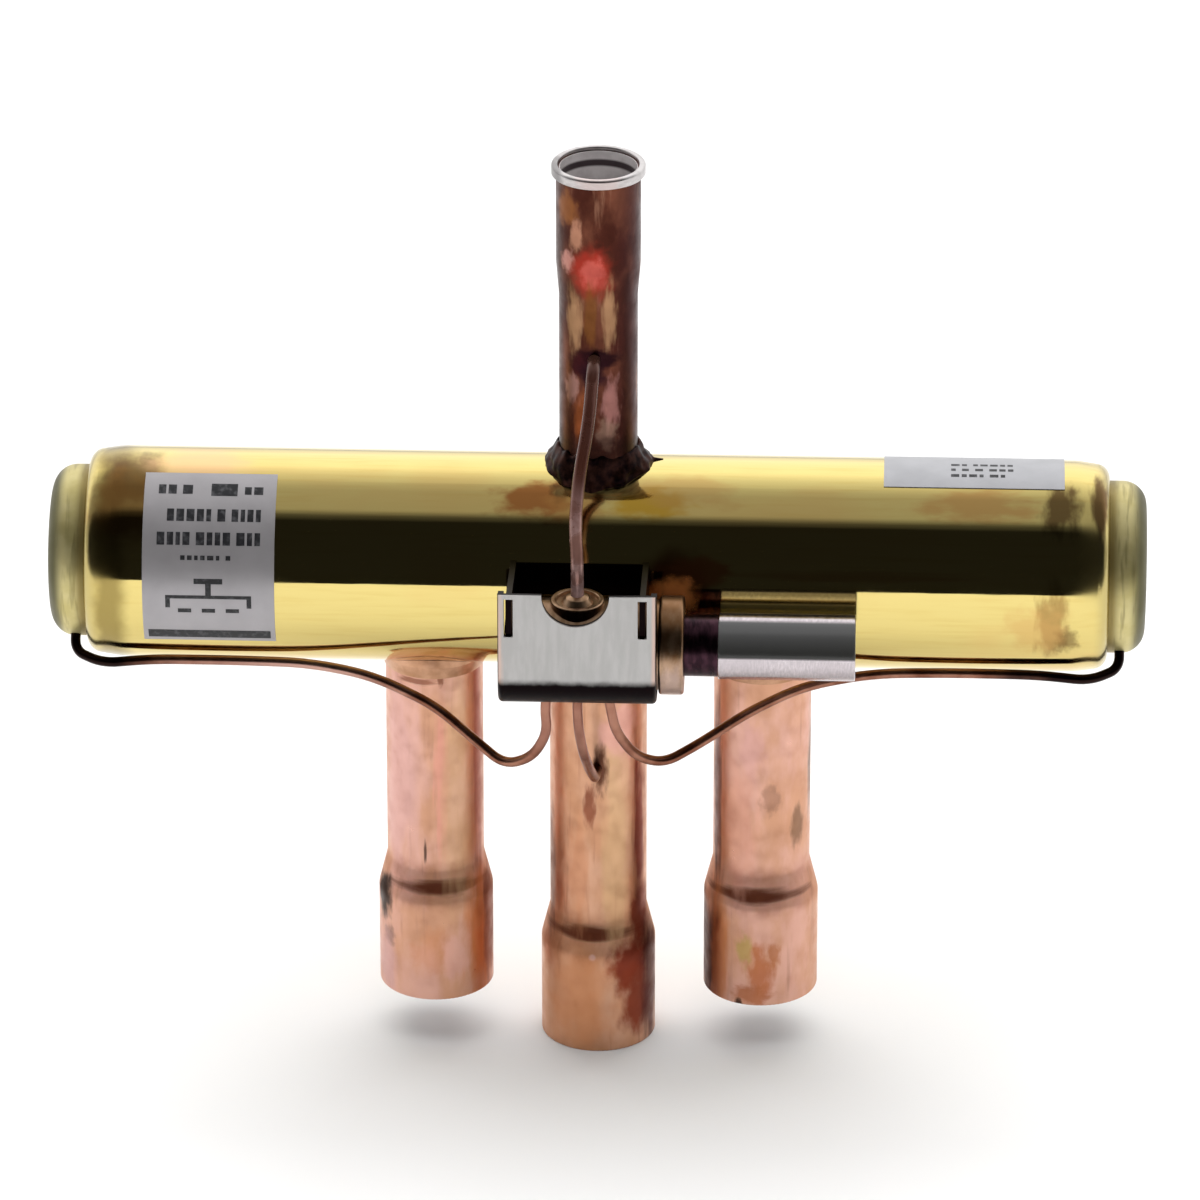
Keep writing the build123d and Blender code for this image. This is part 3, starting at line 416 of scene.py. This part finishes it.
# %% Discharge tube finish
collar_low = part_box("discharge_collar")[0][2]
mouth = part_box("discharge_collar")[1][2]
feed_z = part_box("discharge_capillary")[1][2]
foot_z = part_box("discharge_braze")[1][2]
burnt, tree, shader = begin("burnt_copper", 1.0, 0.34)
cloud = share(tree, grain(tree, 120, 5, stretch=(1, 1, 0.5)), 0.36, 0.62)
colour = mixed(tree, cloud, (0.065, 0.018, 0.012), (0.18, 0.062, 0.036))
sideways = share(tree, height(tree, "X"), 0.0020, 0.0080)
colour = mixed(tree, maths(tree, "MULTIPLY", sideways, 0.65), colour, (0.045, 0.014, 0.016))
left_edge = share(tree, height(tree, "X"), -0.0064, -0.0080)
colour = mixed(tree, maths(tree, "MULTIPLY", left_edge, 0.7), colour, (0.05, 0.02, 0.014))
streaks = grain(tree, 420, 4, stretch=(1, 1, 0.16))
colour = mixed(tree, maths(tree, "MULTIPLY", share(tree, streaks, 0.58, 0.76), 0.7), colour, (0.34, 0.16, 0.10))
print("discharge tube's base colour:", len(tree.nodes), "nodes")

# %% Burns and painted highlights on the discharge tube
LIGHT_TAN, RED = (0.54, 0.31, 0.16), (0.36, 0.035, 0.022)
DISCHARGE_STAINS_AND_HIGHLIGHTS = [
    ((-0.0062, -0.0060, 0.1943), (0.0020, 0.004, 0.0035), (0.30, 0.11, 0.035), 0.7),
    ((-0.0044, -0.0076, 0.1889), (0.0013, 0.003, 0.0030), (0.50, 0.24, 0.15), 0.8),
    ((-0.0060, -0.0056, 0.1827), (0.0014, 0.003, 0.0022), (0.62, 0.30, 0.25), 0.8),
    ((-0.0010, -0.0082, 0.1812), (0.0043, 0.004, 0.0050), RED, 0.95, 0.4),
    ((-0.0008, -0.0083, 0.1806), (0.0024, 0.003, 0.0032), (0.56, 0.11, 0.085), 0.9, 0.4),
    ((-0.0047, -0.0067, 0.1701), (0.0014, 0.003, 0.0066), LIGHT_TAN, 0.65, 0.5),
    ((0.0025, -0.0078, 0.1706), (0.0013, 0.003, 0.0066), LIGHT_TAN, 0.6, 0.5),
    ((-0.0013, -0.0082, 0.1711), (0.0013, 0.003, 0.0070), (0.20, 0.075, 0.02), 0.7, 0.4),
    ((0.0002, -0.0083, 0.1615), (0.0044, 0.004, 0.0022), (0.020, 0.006, 0.008), 0.98, 0.4),
    ((-0.0038, -0.0074, 0.1592), (0.0022, 0.004, 0.0028), (0.040, 0.008, 0.010), 0.97, 0.4),
    ((-0.0010, -0.0082, 0.1572), (0.0030, 0.004, 0.0034), (0.026, 0.008, 0.012), 0.97, 0.4),
    # Painted highlights: the next three pale spots below the feed joint.
    ((-0.0052, -0.0064, 0.1535), (0.0014, 0.003, 0.0034), (0.50, 0.27, 0.23), 0.6, 0.6),
    ((0.0030, -0.0077, 0.1510), (0.0017, 0.003, 0.0050), (0.44, 0.20, 0.18), 0.6, 0.6),
    ((0.0020, -0.0080, 0.1440), (0.0022, 0.003, 0.0030), (0.36, 0.22, 0.16), 0.5, 0.6),
    ((-0.0036, -0.0074, 0.1470), (0.0014, 0.003, 0.0060), (0.26, 0.07, 0.02), 0.7, 0.5),
    ((0.0, 0.0, foot_z), (0.012, 0.012, 0.0045), (0.030, 0.012, 0.010), 0.9),
]
colour = overlaid(tree, colour, DISCHARGE_STAINS_AND_HIGHLIGHTS)
print(len(DISCHARGE_STAINS_AND_HIGHLIGHTS), "burns on the discharge tube")

# %% Inside the mouth
BORE_EDGE, BORE_SURE = 0.00812, 0.00806
squared = [maths(tree, "MULTIPLY", height(tree, a), height(tree, a)) for a in "XY"]
inside = share(tree, maths(tree, "ADD", *squared), BORE_EDGE ** 2, BORE_SURE ** 2)
deep = maths(tree, "SUBTRACT", mouth, height(tree, "Z"))
wall = mixed(tree, share(tree, grain(tree, 300, 3), 0.35, 0.65), (0.56, 0.52, 0.52), (0.68, 0.64, 0.64))
# Painted shadow: a dark line round the inside of the mouth.
shadow_line = maths(tree, "MULTIPLY", share(tree, deep, 0.0023, 0.0029), share(tree, deep, 0.0044, 0.0038))
wall = mixed(tree, shadow_line, wall, (0.05, 0.035, 0.04))
# Painted shade: the wall is darker further down the bore.
wall = mixed(tree, share(tree, deep, 0.0085, 0.0110), wall, (0.10, 0.05, 0.04))
plug(tree, mixed(tree, inside, colour, wall), shader.inputs["Base Color"])
plug(tree, share(tree, inside, 1.0, 0.55), shader.inputs["Metallic"])
plug(tree, share(tree, grain(tree, 260, 4), -0.6, 2.0), shader.inputs["Roughness"])
bumps(tree, shader, grain(tree, 650, 4), 0.00004)
print("burnt_copper:", len(tree.nodes), "nodes")

# %% [markdown]
# Bright collar, sheet steel and stainless
#
# The plain metals differ mainly in how their noise is stretched. Turned pieces have lines round them, rolled sheet
# has lines along one way, and the coil's stem is polished. Two of them get one more layer on top: the bend and the
# back of the clip are painted near-black as painted shade, and the stem has a dull dark grey stripe along its front,
# a painted reflection of the dark room.

# %% Plain metal helper
def plain_metal(name, dark, light, roughness, scale, stretch, depth, overlays=()):
    """A bare metal with a directional grain."""
    finish, tree, shader = begin(name, 1.0, roughness)
    lines = grain(tree, scale, 4, stretch=stretch)
    colour = mixed(tree, share(tree, lines, 0.34, 0.68), dark, light)
    colour = mixed(tree, share(tree, grain(tree, 90, 3), 0.5, 0.85), colour, dark)
    colour = overlaid(tree, colour, overlays)
    plug(tree, colour, shader.inputs["Base Color"])
    plug(tree, maths(tree, "ADD", maths(tree, "MULTIPLY", lines, 0.16), roughness - 0.08), shader.inputs["Roughness"])
    bumps(tree, shader, lines, depth)
    print(name + ":", len(tree.nodes), "nodes")
    return finish


# %% Plain metals
clip_low, clip_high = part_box("pilot_clip")
clip_middle = (clip_low[2] + clip_high[2]) / 2
collar_metal = plain_metal("collar_metal", (0.50, 0.475, 0.47), (0.64, 0.61, 0.605), 0.34, 500, (1, 1, 3), 0.00002, [
    ((0.0, -0.009, collar_low + 0.001), (0.005, 0.004, 0.002), (0.66, 0.50, 0.47), 0.5),
    # Painted shade: dark on the left side of the collar's skirt.
    ((-0.0095, -0.003, collar_low + 0.001), (0.002, 0.006, 0.004), (0.16, 0.15, 0.15), 0.7),
])
sheet_steel = plain_metal("sheet_steel", (0.42, 0.41, 0.40), (0.49, 0.48, 0.47), 0.4, 500, (1, 1, 0.2), 0.00001, [
    # Painted highlights: pale strips down the two side edges of the clip.
    ((clip_low[0], clip_low[1], clip_middle), (0.0010, 0.004, 0.02), (0.66, 0.46, 0.38), 0.7),
    ((clip_high[0], clip_low[1], clip_middle), (0.0010, 0.004, 0.02), (0.66, 0.46, 0.38), 0.7),
])
stainless = plain_metal("stainless", (0.50, 0.45, 0.47), (0.64, 0.58, 0.60), 0.2, 700, (4, 1, 1), 0.000008)
core_steel = plain_metal("core_steel", (0.42, 0.42, 0.43), (0.58, 0.58, 0.58), 0.3, 900, (6, 1, 1), 0.00001)
zinc_steel = plain_metal("zinc_steel", (0.60, 0.62, 0.62), (0.76, 0.77, 0.76), 0.35, 300, (1, 1, 1), 0.00001)
spring_steel = plain_metal("spring_steel", (0.36, 0.36, 0.38), (0.56, 0.56, 0.58), 0.3, 1200, (1, 1, 1), 0.000006)
seat_brass = plain_metal("seat_brass", (0.70, 0.54, 0.22), (0.82, 0.68, 0.32), 0.25, 500, (0.2, 1, 1), 0.00001)

# %% Painted shade on the bend and back of the clip
SHADE_TOP = clip_low[2] + 0.0072
tree = sheet_steel.node_tree
shader = tree.nodes["Principled BSDF"]
clean = shader.inputs["Base Color"].links[0].from_socket
# Painted shade: the bend at the bottom of the clip and everything behind its front face are painted near-black.
bend_shade = band(tree, "Z", clip_low[2] - 0.01, SHADE_TOP, 0.0010, 0.0010)
back_shade = share(tree, height(tree, "Y"), clip_low[1] + 0.0002, clip_low[1] + 0.0006)
dark = maths(tree, "MAXIMUM", bend_shade, back_shade)
plug(tree, mixed(tree, dark, clean, (0.006, 0.0035, 0.004)), shader.inputs["Base Color"])
print("clip scorched up to", round(SHADE_TOP * 1000, 1), "mm")

# %% Painted reflection: grey stripe along the stem
STEM_R = (stem_high[2] - stem_low[2]) / 2
LEAN_Y, LEAN_Z = 0.438, 0.899
tree = stainless.node_tree
shader = tree.nodes["Principled BSDF"]
clean = shader.inputs["Base Color"].links[0].from_socket
where = add(tree, "ShaderNodeTexCoord").outputs["Object"]
tilted = add(tree, "ShaderNodeVectorMath", operation="DOT_PRODUCT")
tree.links.new(where, tilted.inputs[0])
tilted.inputs[1].default_value = (0, LEAN_Y, LEAN_Z)
level = maths(tree, "SUBTRACT", tilted.outputs["Value"], LEAN_Y * PILOT_Y + LEAN_Z * PILOT_Z)
# Painted reflection: a dark grey stripe along the stem's front, lighter towards its top and less metallic where it
# lies.
lower_edge = share(tree, level, -0.42 * STEM_R, -0.34 * STEM_R)
stripe = maths(tree, "MULTIPLY", lower_edge, share(tree, level, 0.80 * STEM_R, 0.70 * STEM_R))
grey = mixed(tree, share(tree, level, -0.3 * STEM_R, 0.7 * STEM_R), (0.038, 0.038, 0.036), (0.095, 0.095, 0.095))
plug(tree, mixed(tree, stripe, clean, grey), shader.inputs["Base Color"])
plug(tree, flipped(tree, stripe, 0.8), shader.inputs["Metallic"])
print("grey stripe on a stem of", round(2000 * STEM_R, 1), "mm")

# %% Heat-marked metals, and a painted reflection on the pilot's flange
pilot_brass = plain_metal("pilot_brass", (0.27, 0.16, 0.09), (0.46, 0.30, 0.19), 0.33, 300, (2, 1, 1), 0.00002, [
    # Painted reflection on the pilot's flange: pale below its middle, dark above it.
    ((0.0165, PILOT_Y, PILOT_Z - 0.007), (0.004, 0.014, 0.008), (0.56, 0.42, 0.38), 0.6),
    ((0.0165, PILOT_Y, PILOT_Z + 0.007), (0.004, 0.014, 0.006), (0.24, 0.11, 0.04), 0.7),
])
neck_steel = plain_metal("neck_steel", (0.025, 0.012, 0.017), (0.08, 0.035, 0.05), 0.3, 260, (3, 1, 1), 0.00002)
LINE_STAINS_AND_PAINTED_LIGHT = [
    # Painted shade: the capillaries go near-black at both ends, under the body.
    ((-HALF, -0.012, AXIS_Z - 0.02), (0.016, 0.02, 0.02), (0.010, 0.006, 0.006), 0.97),
    ((HALF, -0.012, AXIS_Z - 0.02), (0.020, 0.02, 0.02), (0.010, 0.006, 0.006), 0.97),
    # Painted highlight: pale pink along the left capillary under the body.
    ((-0.0650, -0.012, AXIS_Z - 0.024), (0.022, 0.02, 0.010), (0.62, 0.38, 0.32), 0.75, 0.3),
    ((-0.003, -0.030, AXIS_Z - 0.024), (0.010, 0.02, 0.008), (0.40, 0.20, 0.15), 0.5),
]
capillary_copper = plain_metal(
    "capillary_copper", (0.20, 0.075, 0.045), (0.38, 0.18, 0.12), 0.32, 160, (1, 1, 1), 0.00002, LINE_STAINS_AND_PAINTED_LIGHT)
feed_copper = plain_metal("feed_copper", (0.30, 0.15, 0.12), (0.66, 0.44, 0.42), 0.28, 160, (1, 1, 1), 0.00002, [
    ((0.0, -0.012, feed_z), (0.006, 0.006, 0.010), (0.06, 0.03, 0.02), 0.9),
    ((-0.004, -0.019, feed_z - 0.0135), (0.020, 0.030, 0.0150), (0.085, 0.026, 0.016), 0.97, 0.1),
])
feed_copper.node_tree.nodes["Principled BSDF"].inputs["Metallic"].default_value = 0.5
braze_metal = plain_metal("braze_metal", (0.010, 0.005, 0.006), (0.060, 0.024, 0.018), 0.46, 420, (1, 1, 1), 0.00012)
port_braze = plain_metal("port_braze", (0.46, 0.24, 0.13), (0.66, 0.38, 0.24), 0.34, 200, (1, 1, 1), 0.00006)

# %% [markdown]
# Plastics and foil
#
# The slides are moulded nylon and the cup seals are filled PTFE. Both sit inside. The plates outside are matt silver
# foil, which is metal under a rough clear film, so it answers the room softly and stays grey across the dark band.

# %% Plastic and foil finishes
def moulded(name, dark, light, roughness):
    """A moulded plastic with a faint mottle."""
    finish, tree, shader = begin(name, 0.0, roughness)
    plug(tree, mixed(tree, grain(tree, 240, 4), dark, light), shader.inputs["Base Color"])
    bumps(tree, shader, grain(tree, 1400, 3), 0.00002)
    print(name + ":", len(tree.nodes), "nodes")
    return finish


def foil(name, metallic, roughness, dark, light):
    """Printed foil under a clear film, slightly uneven."""
    finish, tree, shader = begin(name, metallic, roughness)
    plug(tree, mixed(tree, grain(tree, 150, 4), dark, light), shader.inputs["Base Color"])
    bumps(tree, shader, grain(tree, 240, 3), 0.00003)
    print(name + ":", len(tree.nodes), "nodes")
    return finish


slide_nylon = moulded("slide_nylon", (0.70, 0.67, 0.57), (0.82, 0.80, 0.70), 0.42)
seal_ptfe = moulded("seal_ptfe", (0.035, 0.035, 0.04), (0.07, 0.07, 0.08), 0.5)
foil_silver = foil("foil_silver", 0.6, 0.40, (0.34, 0.325, 0.335), (0.46, 0.44, 0.455))
foil_lilac = foil("foil_lilac", 0.35, 0.42, (0.30, 0.30, 0.315), (0.43, 0.43, 0.45))

# %% Put the finishes on the CAD nodes
FINISHES = {
    "main_tube": brass_tube, "left_end_cap": brass_cap, "right_end_cap": brass_cap, "valve_seat": seat_brass,
    "discharge_tube": burnt, "discharge_collar": collar_metal, "discharge_braze": braze_metal,
    "left_port_tube": left_copper, "suction_tube": suction_copper, "right_port_tube": right_copper,
    "port_braze_rings": port_braze, "pilot_saddle": sheet_steel, "pilot_clip": sheet_steel,
    "pilot_body": pilot_brass, "pilot_inlet_boss": pilot_brass, "pilot_seat": seat_brass,
    "neck_adapter": neck_steel, "plunger_tube": stainless, "fixed_core": core_steel,
    "discharge_capillary": feed_copper, "suction_capillary": capillary_copper,
    "left_capillary": capillary_copper, "right_capillary": capillary_copper,
    "nameplate": foil_silver, "top_label": foil_lilac,
    "main_slide": slide_nylon, "slide_frame": zinc_steel, "pilot_plunger": core_steel,
    "pilot_carrier": core_steel, "pilot_slide": slide_nylon, "pilot_leaf_spring": spring_steel,
    "return_spring": spring_steel,
}
for side in ("left", "right"):
    FINISHES[side + "_piston_plate"] = zinc_steel
    FINISHES[side + "_seal_spreader"] = spring_steel
    FINISHES[side + "_piston_seal"] = seal_ptfe
    FINISHES[side + "_piston_cover"] = zinc_steel
    FINISHES[side + "_piston_screws"] = zinc_steel
for name, finish in FINISHES.items():
    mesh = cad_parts[name].data
    mesh.materials.clear()
    mesh.materials.append(finish)
print(len(FINISHES), "of", len(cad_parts), "nodes finished")

# %% [markdown]
# Braze at the foot of the discharge tube
#
# The upper joint was brazed by hand with too much filler. On the real valve it is a black, lumpy ring, wider at the
# sides than in front, with one drip that ran out along the brass. Sculpting would need a mouse, so this ring is spun
# from an outline of nine points, and every point is then pushed outwards by a noise and dropped on the round body.
# The outline is in shares: across from the stub to the edge of the braze, and up from the body to its crest.

# %% A new piece from a bmesh
def new_piece(shape, name, finish):
    """The shape as an object at the origin, with its finish."""
    mesh = bpy.data.meshes.new(name)
    shape.to_mesh(mesh)
    shape.free()
    mesh.materials.append(finish)
    made = bpy.data.objects.new(name, mesh)
    bpy.context.scene.collection.objects.link(made)
    print(name + ":", len(mesh.polygons), "faces")
    return made


# %% Outline of the braze, spun round the stub
OUTLINE = (
    (0.0, 1.0), (0.12, 0.98), (0.30, 0.80), (0.52, 0.58), (0.75, 0.36), (0.93, 0.16), (1.0, 0.03), (1.0, -0.1),
    (0.0, -0.1),
)
SPIN_STEPS = 180
braze = bmesh.new()
points = [braze.verts.new((1 + across, 0, up)) for across, up in OUTLINE]
edges = [braze.edges.new((a, b)) for a, b in zip(points, points[1:] + points[:1])]
bmesh.ops.spin(
    braze, geom=points + edges, cent=(0, 0, 0), axis=(0, 0, 1), dvec=(0, 0, 0), angle=2 * pi, steps=SPIN_STEPS,
    use_merge=True, use_duplicate=False)
bmesh.ops.subdivide_edges(braze, edges=braze.edges[:], cuts=1, use_grid_fill=True)
print("braze ring:", len(braze.faces), "faces")

# %% How far the braze spreads
REACH = (
    (-180, 11.2), (-130, 11.0), (-108, 9.7), (-70, 9.5), (-43, 9.9), (-15, 10.8), (0, 11.2), (90, 10.8), (180, 11.2),
)


def reach(degrees):
    """The distance from the stub's axis to the edge of the braze in one direction, in metres."""
    for (low, near), (high, far) in zip(REACH, REACH[1:]):
        if degrees <= high:
            return (near + (far - near) * (degrees - low) / (high - low)) / 1000


print(f"braze reaches {1000 * reach(-90):.1f} mm in front and {1000 * reach(0):.1f} mm at the right")

# %% Lumps, the drip and the seat on the body
STUB_R, OVERLAP = 0.0082, 0.0004
LUMPS, CREST_WAVES, SUNK = 0.0009, 0.0011, 0.0005
DRIP_MM, DRIP_AT, DRIP_WIDTH = 3.2, radians(10), radians(2)
for v in braze.verts:
    turned = atan2(v.co.y, v.co.x)
    spread, level = Vector((v.co.x, v.co.y)).length - 1, v.co.z
    ray = Vector((cos(turned), sin(turned), 0))
    lump = noise.noise(ray * 2.3 + Vector((0, 0, level * 2.6)))
    lump += 0.45 * noise.noise(ray * 6 + Vector((5, 0, level * 6)))
    drip = DRIP_MM * exp(-((turned - DRIP_AT) / DRIP_WIDTH) ** 2) * max(0.0, 1 - 9 * abs(level))
    away = STUB_R + spread * (reach(turned * 180 / pi) - STUB_R + LUMPS * lump + drip / 1000)
    if spread < 0.01:
        away -= OVERLAP
    side = away * sin(turned)
    ground_z = AXIS_Z + (TUBE_R ** 2 - side ** 2) ** 0.5
    crest = foot_z - 0.0003 + CREST_WAVES * noise.noise(ray * 4 + Vector((9, 9, 9)))
    v.co = (away * cos(turned), side, ground_z + level * (crest - ground_z) if level > 0 else ground_z - SUNK)
bmesh.ops.recalc_face_normals(braze, faces=braze.faces)
foot_braze = new_piece(braze, "foot_braze", braze_metal)
for face in foot_braze.data.polygons:
    face.use_smooth = True
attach(foot_braze, "valve_body")
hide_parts("discharge_braze")
print("foot braze spreads to", round(max(v.co.x for v in foot_braze.data.vertices) * 1000, 1), "mm")

# %% [markdown]
# Return spring
#
# The spring sits between a pocket in the plunger and the fixed core, and closes as the coil pulls the plunger in. A
# rigid spring would be run through. So a copy of the CAD helix stands for it. The CAD mesh is loose triangles, so the
# copy is merged first.

# %% Copy of the spring
coil = bmesh.new()
coil.from_mesh(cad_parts["return_spring"].data)
bmesh.ops.remove_doubles(coil, verts=coil.verts, dist=1e-7)
closing_spring = new_piece(coil, "closing_spring", spring_steel)
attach(closing_spring, "valve_body")
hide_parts("return_spring")
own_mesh(closing_spring)

# %% [markdown]
# Printed marks
#
# Each plate carries print. Real print is words, which this part leaves out, so the rows here are plain dashes of
# uneven length, with a simple outline of the valve and a bar. They are drawn flat with grids, in millimetres along
# the tube and round it, and then wrapped on the foil. Print in the foil's own material would need a pattern for each
# dash, and thin pieces are simpler and stay crisp from close by.

# %% Mark helpers
STEP = 0.8


def bar(sheet, left, right, low, high):
    """A flat mark on a plate: X along the tube and Y round it, in millimetres, with a fold every STEP."""
    folds = max(1, round((high - low) / STEP))
    made = bmesh.ops.create_grid(sheet, x_segments=1, y_segments=folds, size=0.5)
    spread = Matrix.Diagonal((right - left, high - low, 1, 1))
    place = Matrix.Translation(((left + right) / 2, (low + high) / 2, 0))
    bmesh.ops.transform(sheet, matrix=place @ spread, verts=made["verts"])


GAPS = (1, 1, 1, 2.6)


def dashes(sheet, left, right, low, high, widths, gap, seed):
    """A row of dashes of uneven length."""
    chance = random.Random(seed)
    start = left
    while start < right - widths[0]:
        end = min(start + chance.uniform(*widths), right)
        bar(sheet, start, end, low, high)
        start = end + gap * chance.choice(GAPS)


def row(degrees):
    """The way round the tube to an angle above its front, in millimetres."""
    return radians(degrees) * TUBE_R * 1000


def wrap(sheet, name, ink):
    """The flat marks laid round the main tube as one piece, just above the foil."""
    for v in sheet.verts:
        angle = v.co.y / 1000 / TUBE_R
        v.co = (v.co.x / 1000, -INK_R * cos(angle), AXIS_Z + INK_R * sin(angle))
    piece = new_piece(sheet, name, ink)
    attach(piece, "valve_body")


INK_R = TUBE_R + 0.00019
print(f"ink lies {1000 * (INK_R - TUBE_R):.2f} mm above the brass")

# %% Ink
ink, tree, shader = begin("plate_ink", 0.0, 0.5)
worn = share(tree, grain(tree, 900, 3), 0.45, 0.75)
plug(tree, mixed(tree, worn, (0.010, 0.010, 0.012), (0.06, 0.06, 0.065)), shader.inputs["Base Color"])
bumps(tree, shader, grain(tree, 900, 2), 0.000005)
print("plate_ink:", len(tree.nodes), "nodes")

# %% Rows of print on the nameplate
plate_low, plate_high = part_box("nameplate")
left, right = plate_low[0] * 1000, plate_high[0] * 1000
sheet = bmesh.new()
dashes(sheet, left + 3, left + 11, row(58), row(64), (1.2, 2.6), 0.5, 3)
bar(sheet, left + 14, left + 19.5, row(57), row(65))
dashes(sheet, left + 21, right - 2, row(58), row(63), (1.2, 2.2), 0.5, 4)
dashes(sheet, left + 5, right - 3, row(42), row(49), (0.9, 1.8), 0.5, 5)
dashes(sheet, left + 3, right - 3, row(29), row(36), (0.9, 1.8), 0.5, 6)
dashes(sheet, left + 8, right - 9, row(21), row(23.5), (0.7, 1.4), 0.5, 7)
print(len(sheet.faces), "faces of print")

# %% Outline of the valve and the bar below it
middle = (left + right) / 2
bar(sheet, middle - 9, middle + 9, row(-0.5), row(1.5))
bar(sheet, middle - 9, middle - 8, row(-6), row(1.5))
bar(sheet, middle + 8, middle + 9, row(-6), row(1.5))
bar(sheet, middle - 3, middle + 3, row(8), row(11))
bar(sheet, middle - 0.6, middle + 0.6, row(1.5), row(8))
for x in (-5, 0, 5):
    bar(sheet, middle + x - 1.4, middle + x + 1.4, row(-9), row(-6.5))
bar(sheet, left + 1, right - 1, row(-27.5), row(-21.5))
wrap(sheet, "nameplate_marks", ink)

# %% Marks on the top plate
sheet = bmesh.new()
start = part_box("top_label")[0][0] * 1000
for k, degrees in enumerate((80, 86, 92)):
    dashes(sheet, start + 14, start + 27, row(degrees), row(degrees + 2.6), (0.8, 1.8), 0.5, 20 + k)
wrap(sheet, "top_label_marks", ink)

# %% [markdown]
# Floor, light and camera
#
# Polished metal shows its surroundings more than its own colour. So the room is a ramp of light that turns round the
# X axis, as in a light tent with an open front: white below and behind, brightest high up behind, half as bright
# overhead, and dark towards the front from the horizon up to about 65 degrees. The dark part is the black band along
# the brass. Towards the two ends of the room the ramp fades to an even grey, because all its angles meet there in a
# point. The floor is pale and mirrors in the copper.

# %% Floor
FLOOR_HALF, FLOOR_FRONT = 4, 0.95
pale, tree, shader = begin("pale_floor", 0.0, 0.9)
plug(tree, mixed(tree, grain(tree, 30, 3), (0.86, 0.86, 0.86), (0.88, 0.88, 0.88)), shader.inputs["Base Color"])
shader.inputs["Specular IOR Level"].default_value = 0.0
ground = bmesh.new()
bmesh.ops.create_grid(ground, x_segments=8, y_segments=8, size=FLOOR_HALF)
bmesh.ops.transform(ground, matrix=Matrix.Translation((0, FLOOR_HALF - FLOOR_FRONT, 0)), verts=ground.verts)
floor = new_piece(ground, "floor", pale)

# %% Room light
TENT = (
    (-180, 1.0), (-12, 1.0), (-8, 0.015), (62, 0.014), (68, 0.09), (75, 0.42), (100, 0.47), (121, 0.96),
    (137, 1.5), (165, 1.5), (180, 1.0),
)
ENDS = (0.55, 0.55, 0.55)
world = bpy.data.worlds.new("tent")
bpy.context.scene.world = world
world.use_nodes = True
tree = world.node_tree
backdrop = tree.nodes["Background"]
where = add(tree, "ShaderNodeTexCoord").outputs["Generated"]
apart = add(tree, "ShaderNodeSeparateXYZ")
tree.links.new(where, apart.inputs[0])
toward = maths(tree, "MULTIPLY", apart.outputs["Y"], -1.0)
turn = maths(tree, "DIVIDE", maths(tree, "ARCTAN2", apart.outputs["Z"], toward), 2 * pi)
ramp = add(tree, "ShaderNodeValToRGB")
plug(tree, maths(tree, "ADD", turn, 0.5), ramp.inputs[0])
stops = ramp.color_ramp.elements
while len(stops) < len(TENT):
    stops.new(0.5)
for stop, (degrees, light) in zip(stops, TENT):
    stop.position = degrees / 360 + 0.5
    stop.color = (light, light, light, 1)
end_on = share(tree, maths(tree, "ABSOLUTE", apart.outputs["X"]), 0.93, 0.985)
tree.links.new(mixed(tree, end_on, ramp.outputs[0], ENDS), backdrop.inputs["Color"])
backdrop.inputs["Strength"].default_value = 1.0
print("room light:", len(stops), "stops on the ramp")

# %% Soft panels that light the floor and the plates, unseen in the metal
def panel(name, place, size, watts):
    """A square soft light that faces the valve."""
    lamp = bpy.data.lights.new(name, "AREA")
    lamp.energy = watts
    lamp.size = size
    made = bpy.data.objects.new(name, lamp)
    made.location = place
    made.rotation_euler = (Vector((0, 0, AXIS_Z)) - made.location).to_track_quat("-Z", "Y").to_euler()
    made.visible_glossy = False
    bpy.context.scene.collection.objects.link(made)
    print(name, "at", tuple(round(c, 2) for c in made.location))


panel("overhead_panel", (0, 0.1, 2.6), 3.2, 78)
panel("front_panel", (0.2, -1.7, 1.0), 1.4, 9)

# %% Camera
ELEVATION, AZIMUTH, DISTANCE = radians(26), radians(2.2), 1.894
AIM_ACROSS, AIM_DOWN = 0.00032, 0.00884
back = Vector((sin(AZIMUTH) * cos(ELEVATION), -cos(AZIMUTH) * cos(ELEVATION), sin(ELEVATION)))
across = Vector((cos(AZIMUTH), sin(AZIMUTH), 0))
up = back.cross(across)
aim = Vector((0, 0, AXIS_Z)) + AIM_ACROSS * across - AIM_DOWN * up
lens = bpy.data.cameras.new("camera")
lens.lens = 270  # in millimetres, as the sensor's width is
lens.sensor_width = 36
camera = bpy.data.objects.new("camera", lens)
turned = Matrix((across, up, back)).transposed().to_4x4()
camera.matrix_world = Matrix.Translation(aim + DISTANCE * back) @ turned
bpy.context.scene.collection.objects.link(camera)
bpy.context.scene.camera = camera
bpy.context.scene.view_settings.view_transform = "Standard"
print("camera at", tuple(round(c, 3) for c in camera.location))

# %% [markdown]
# End of the script

# %% Finish
print("script finished")
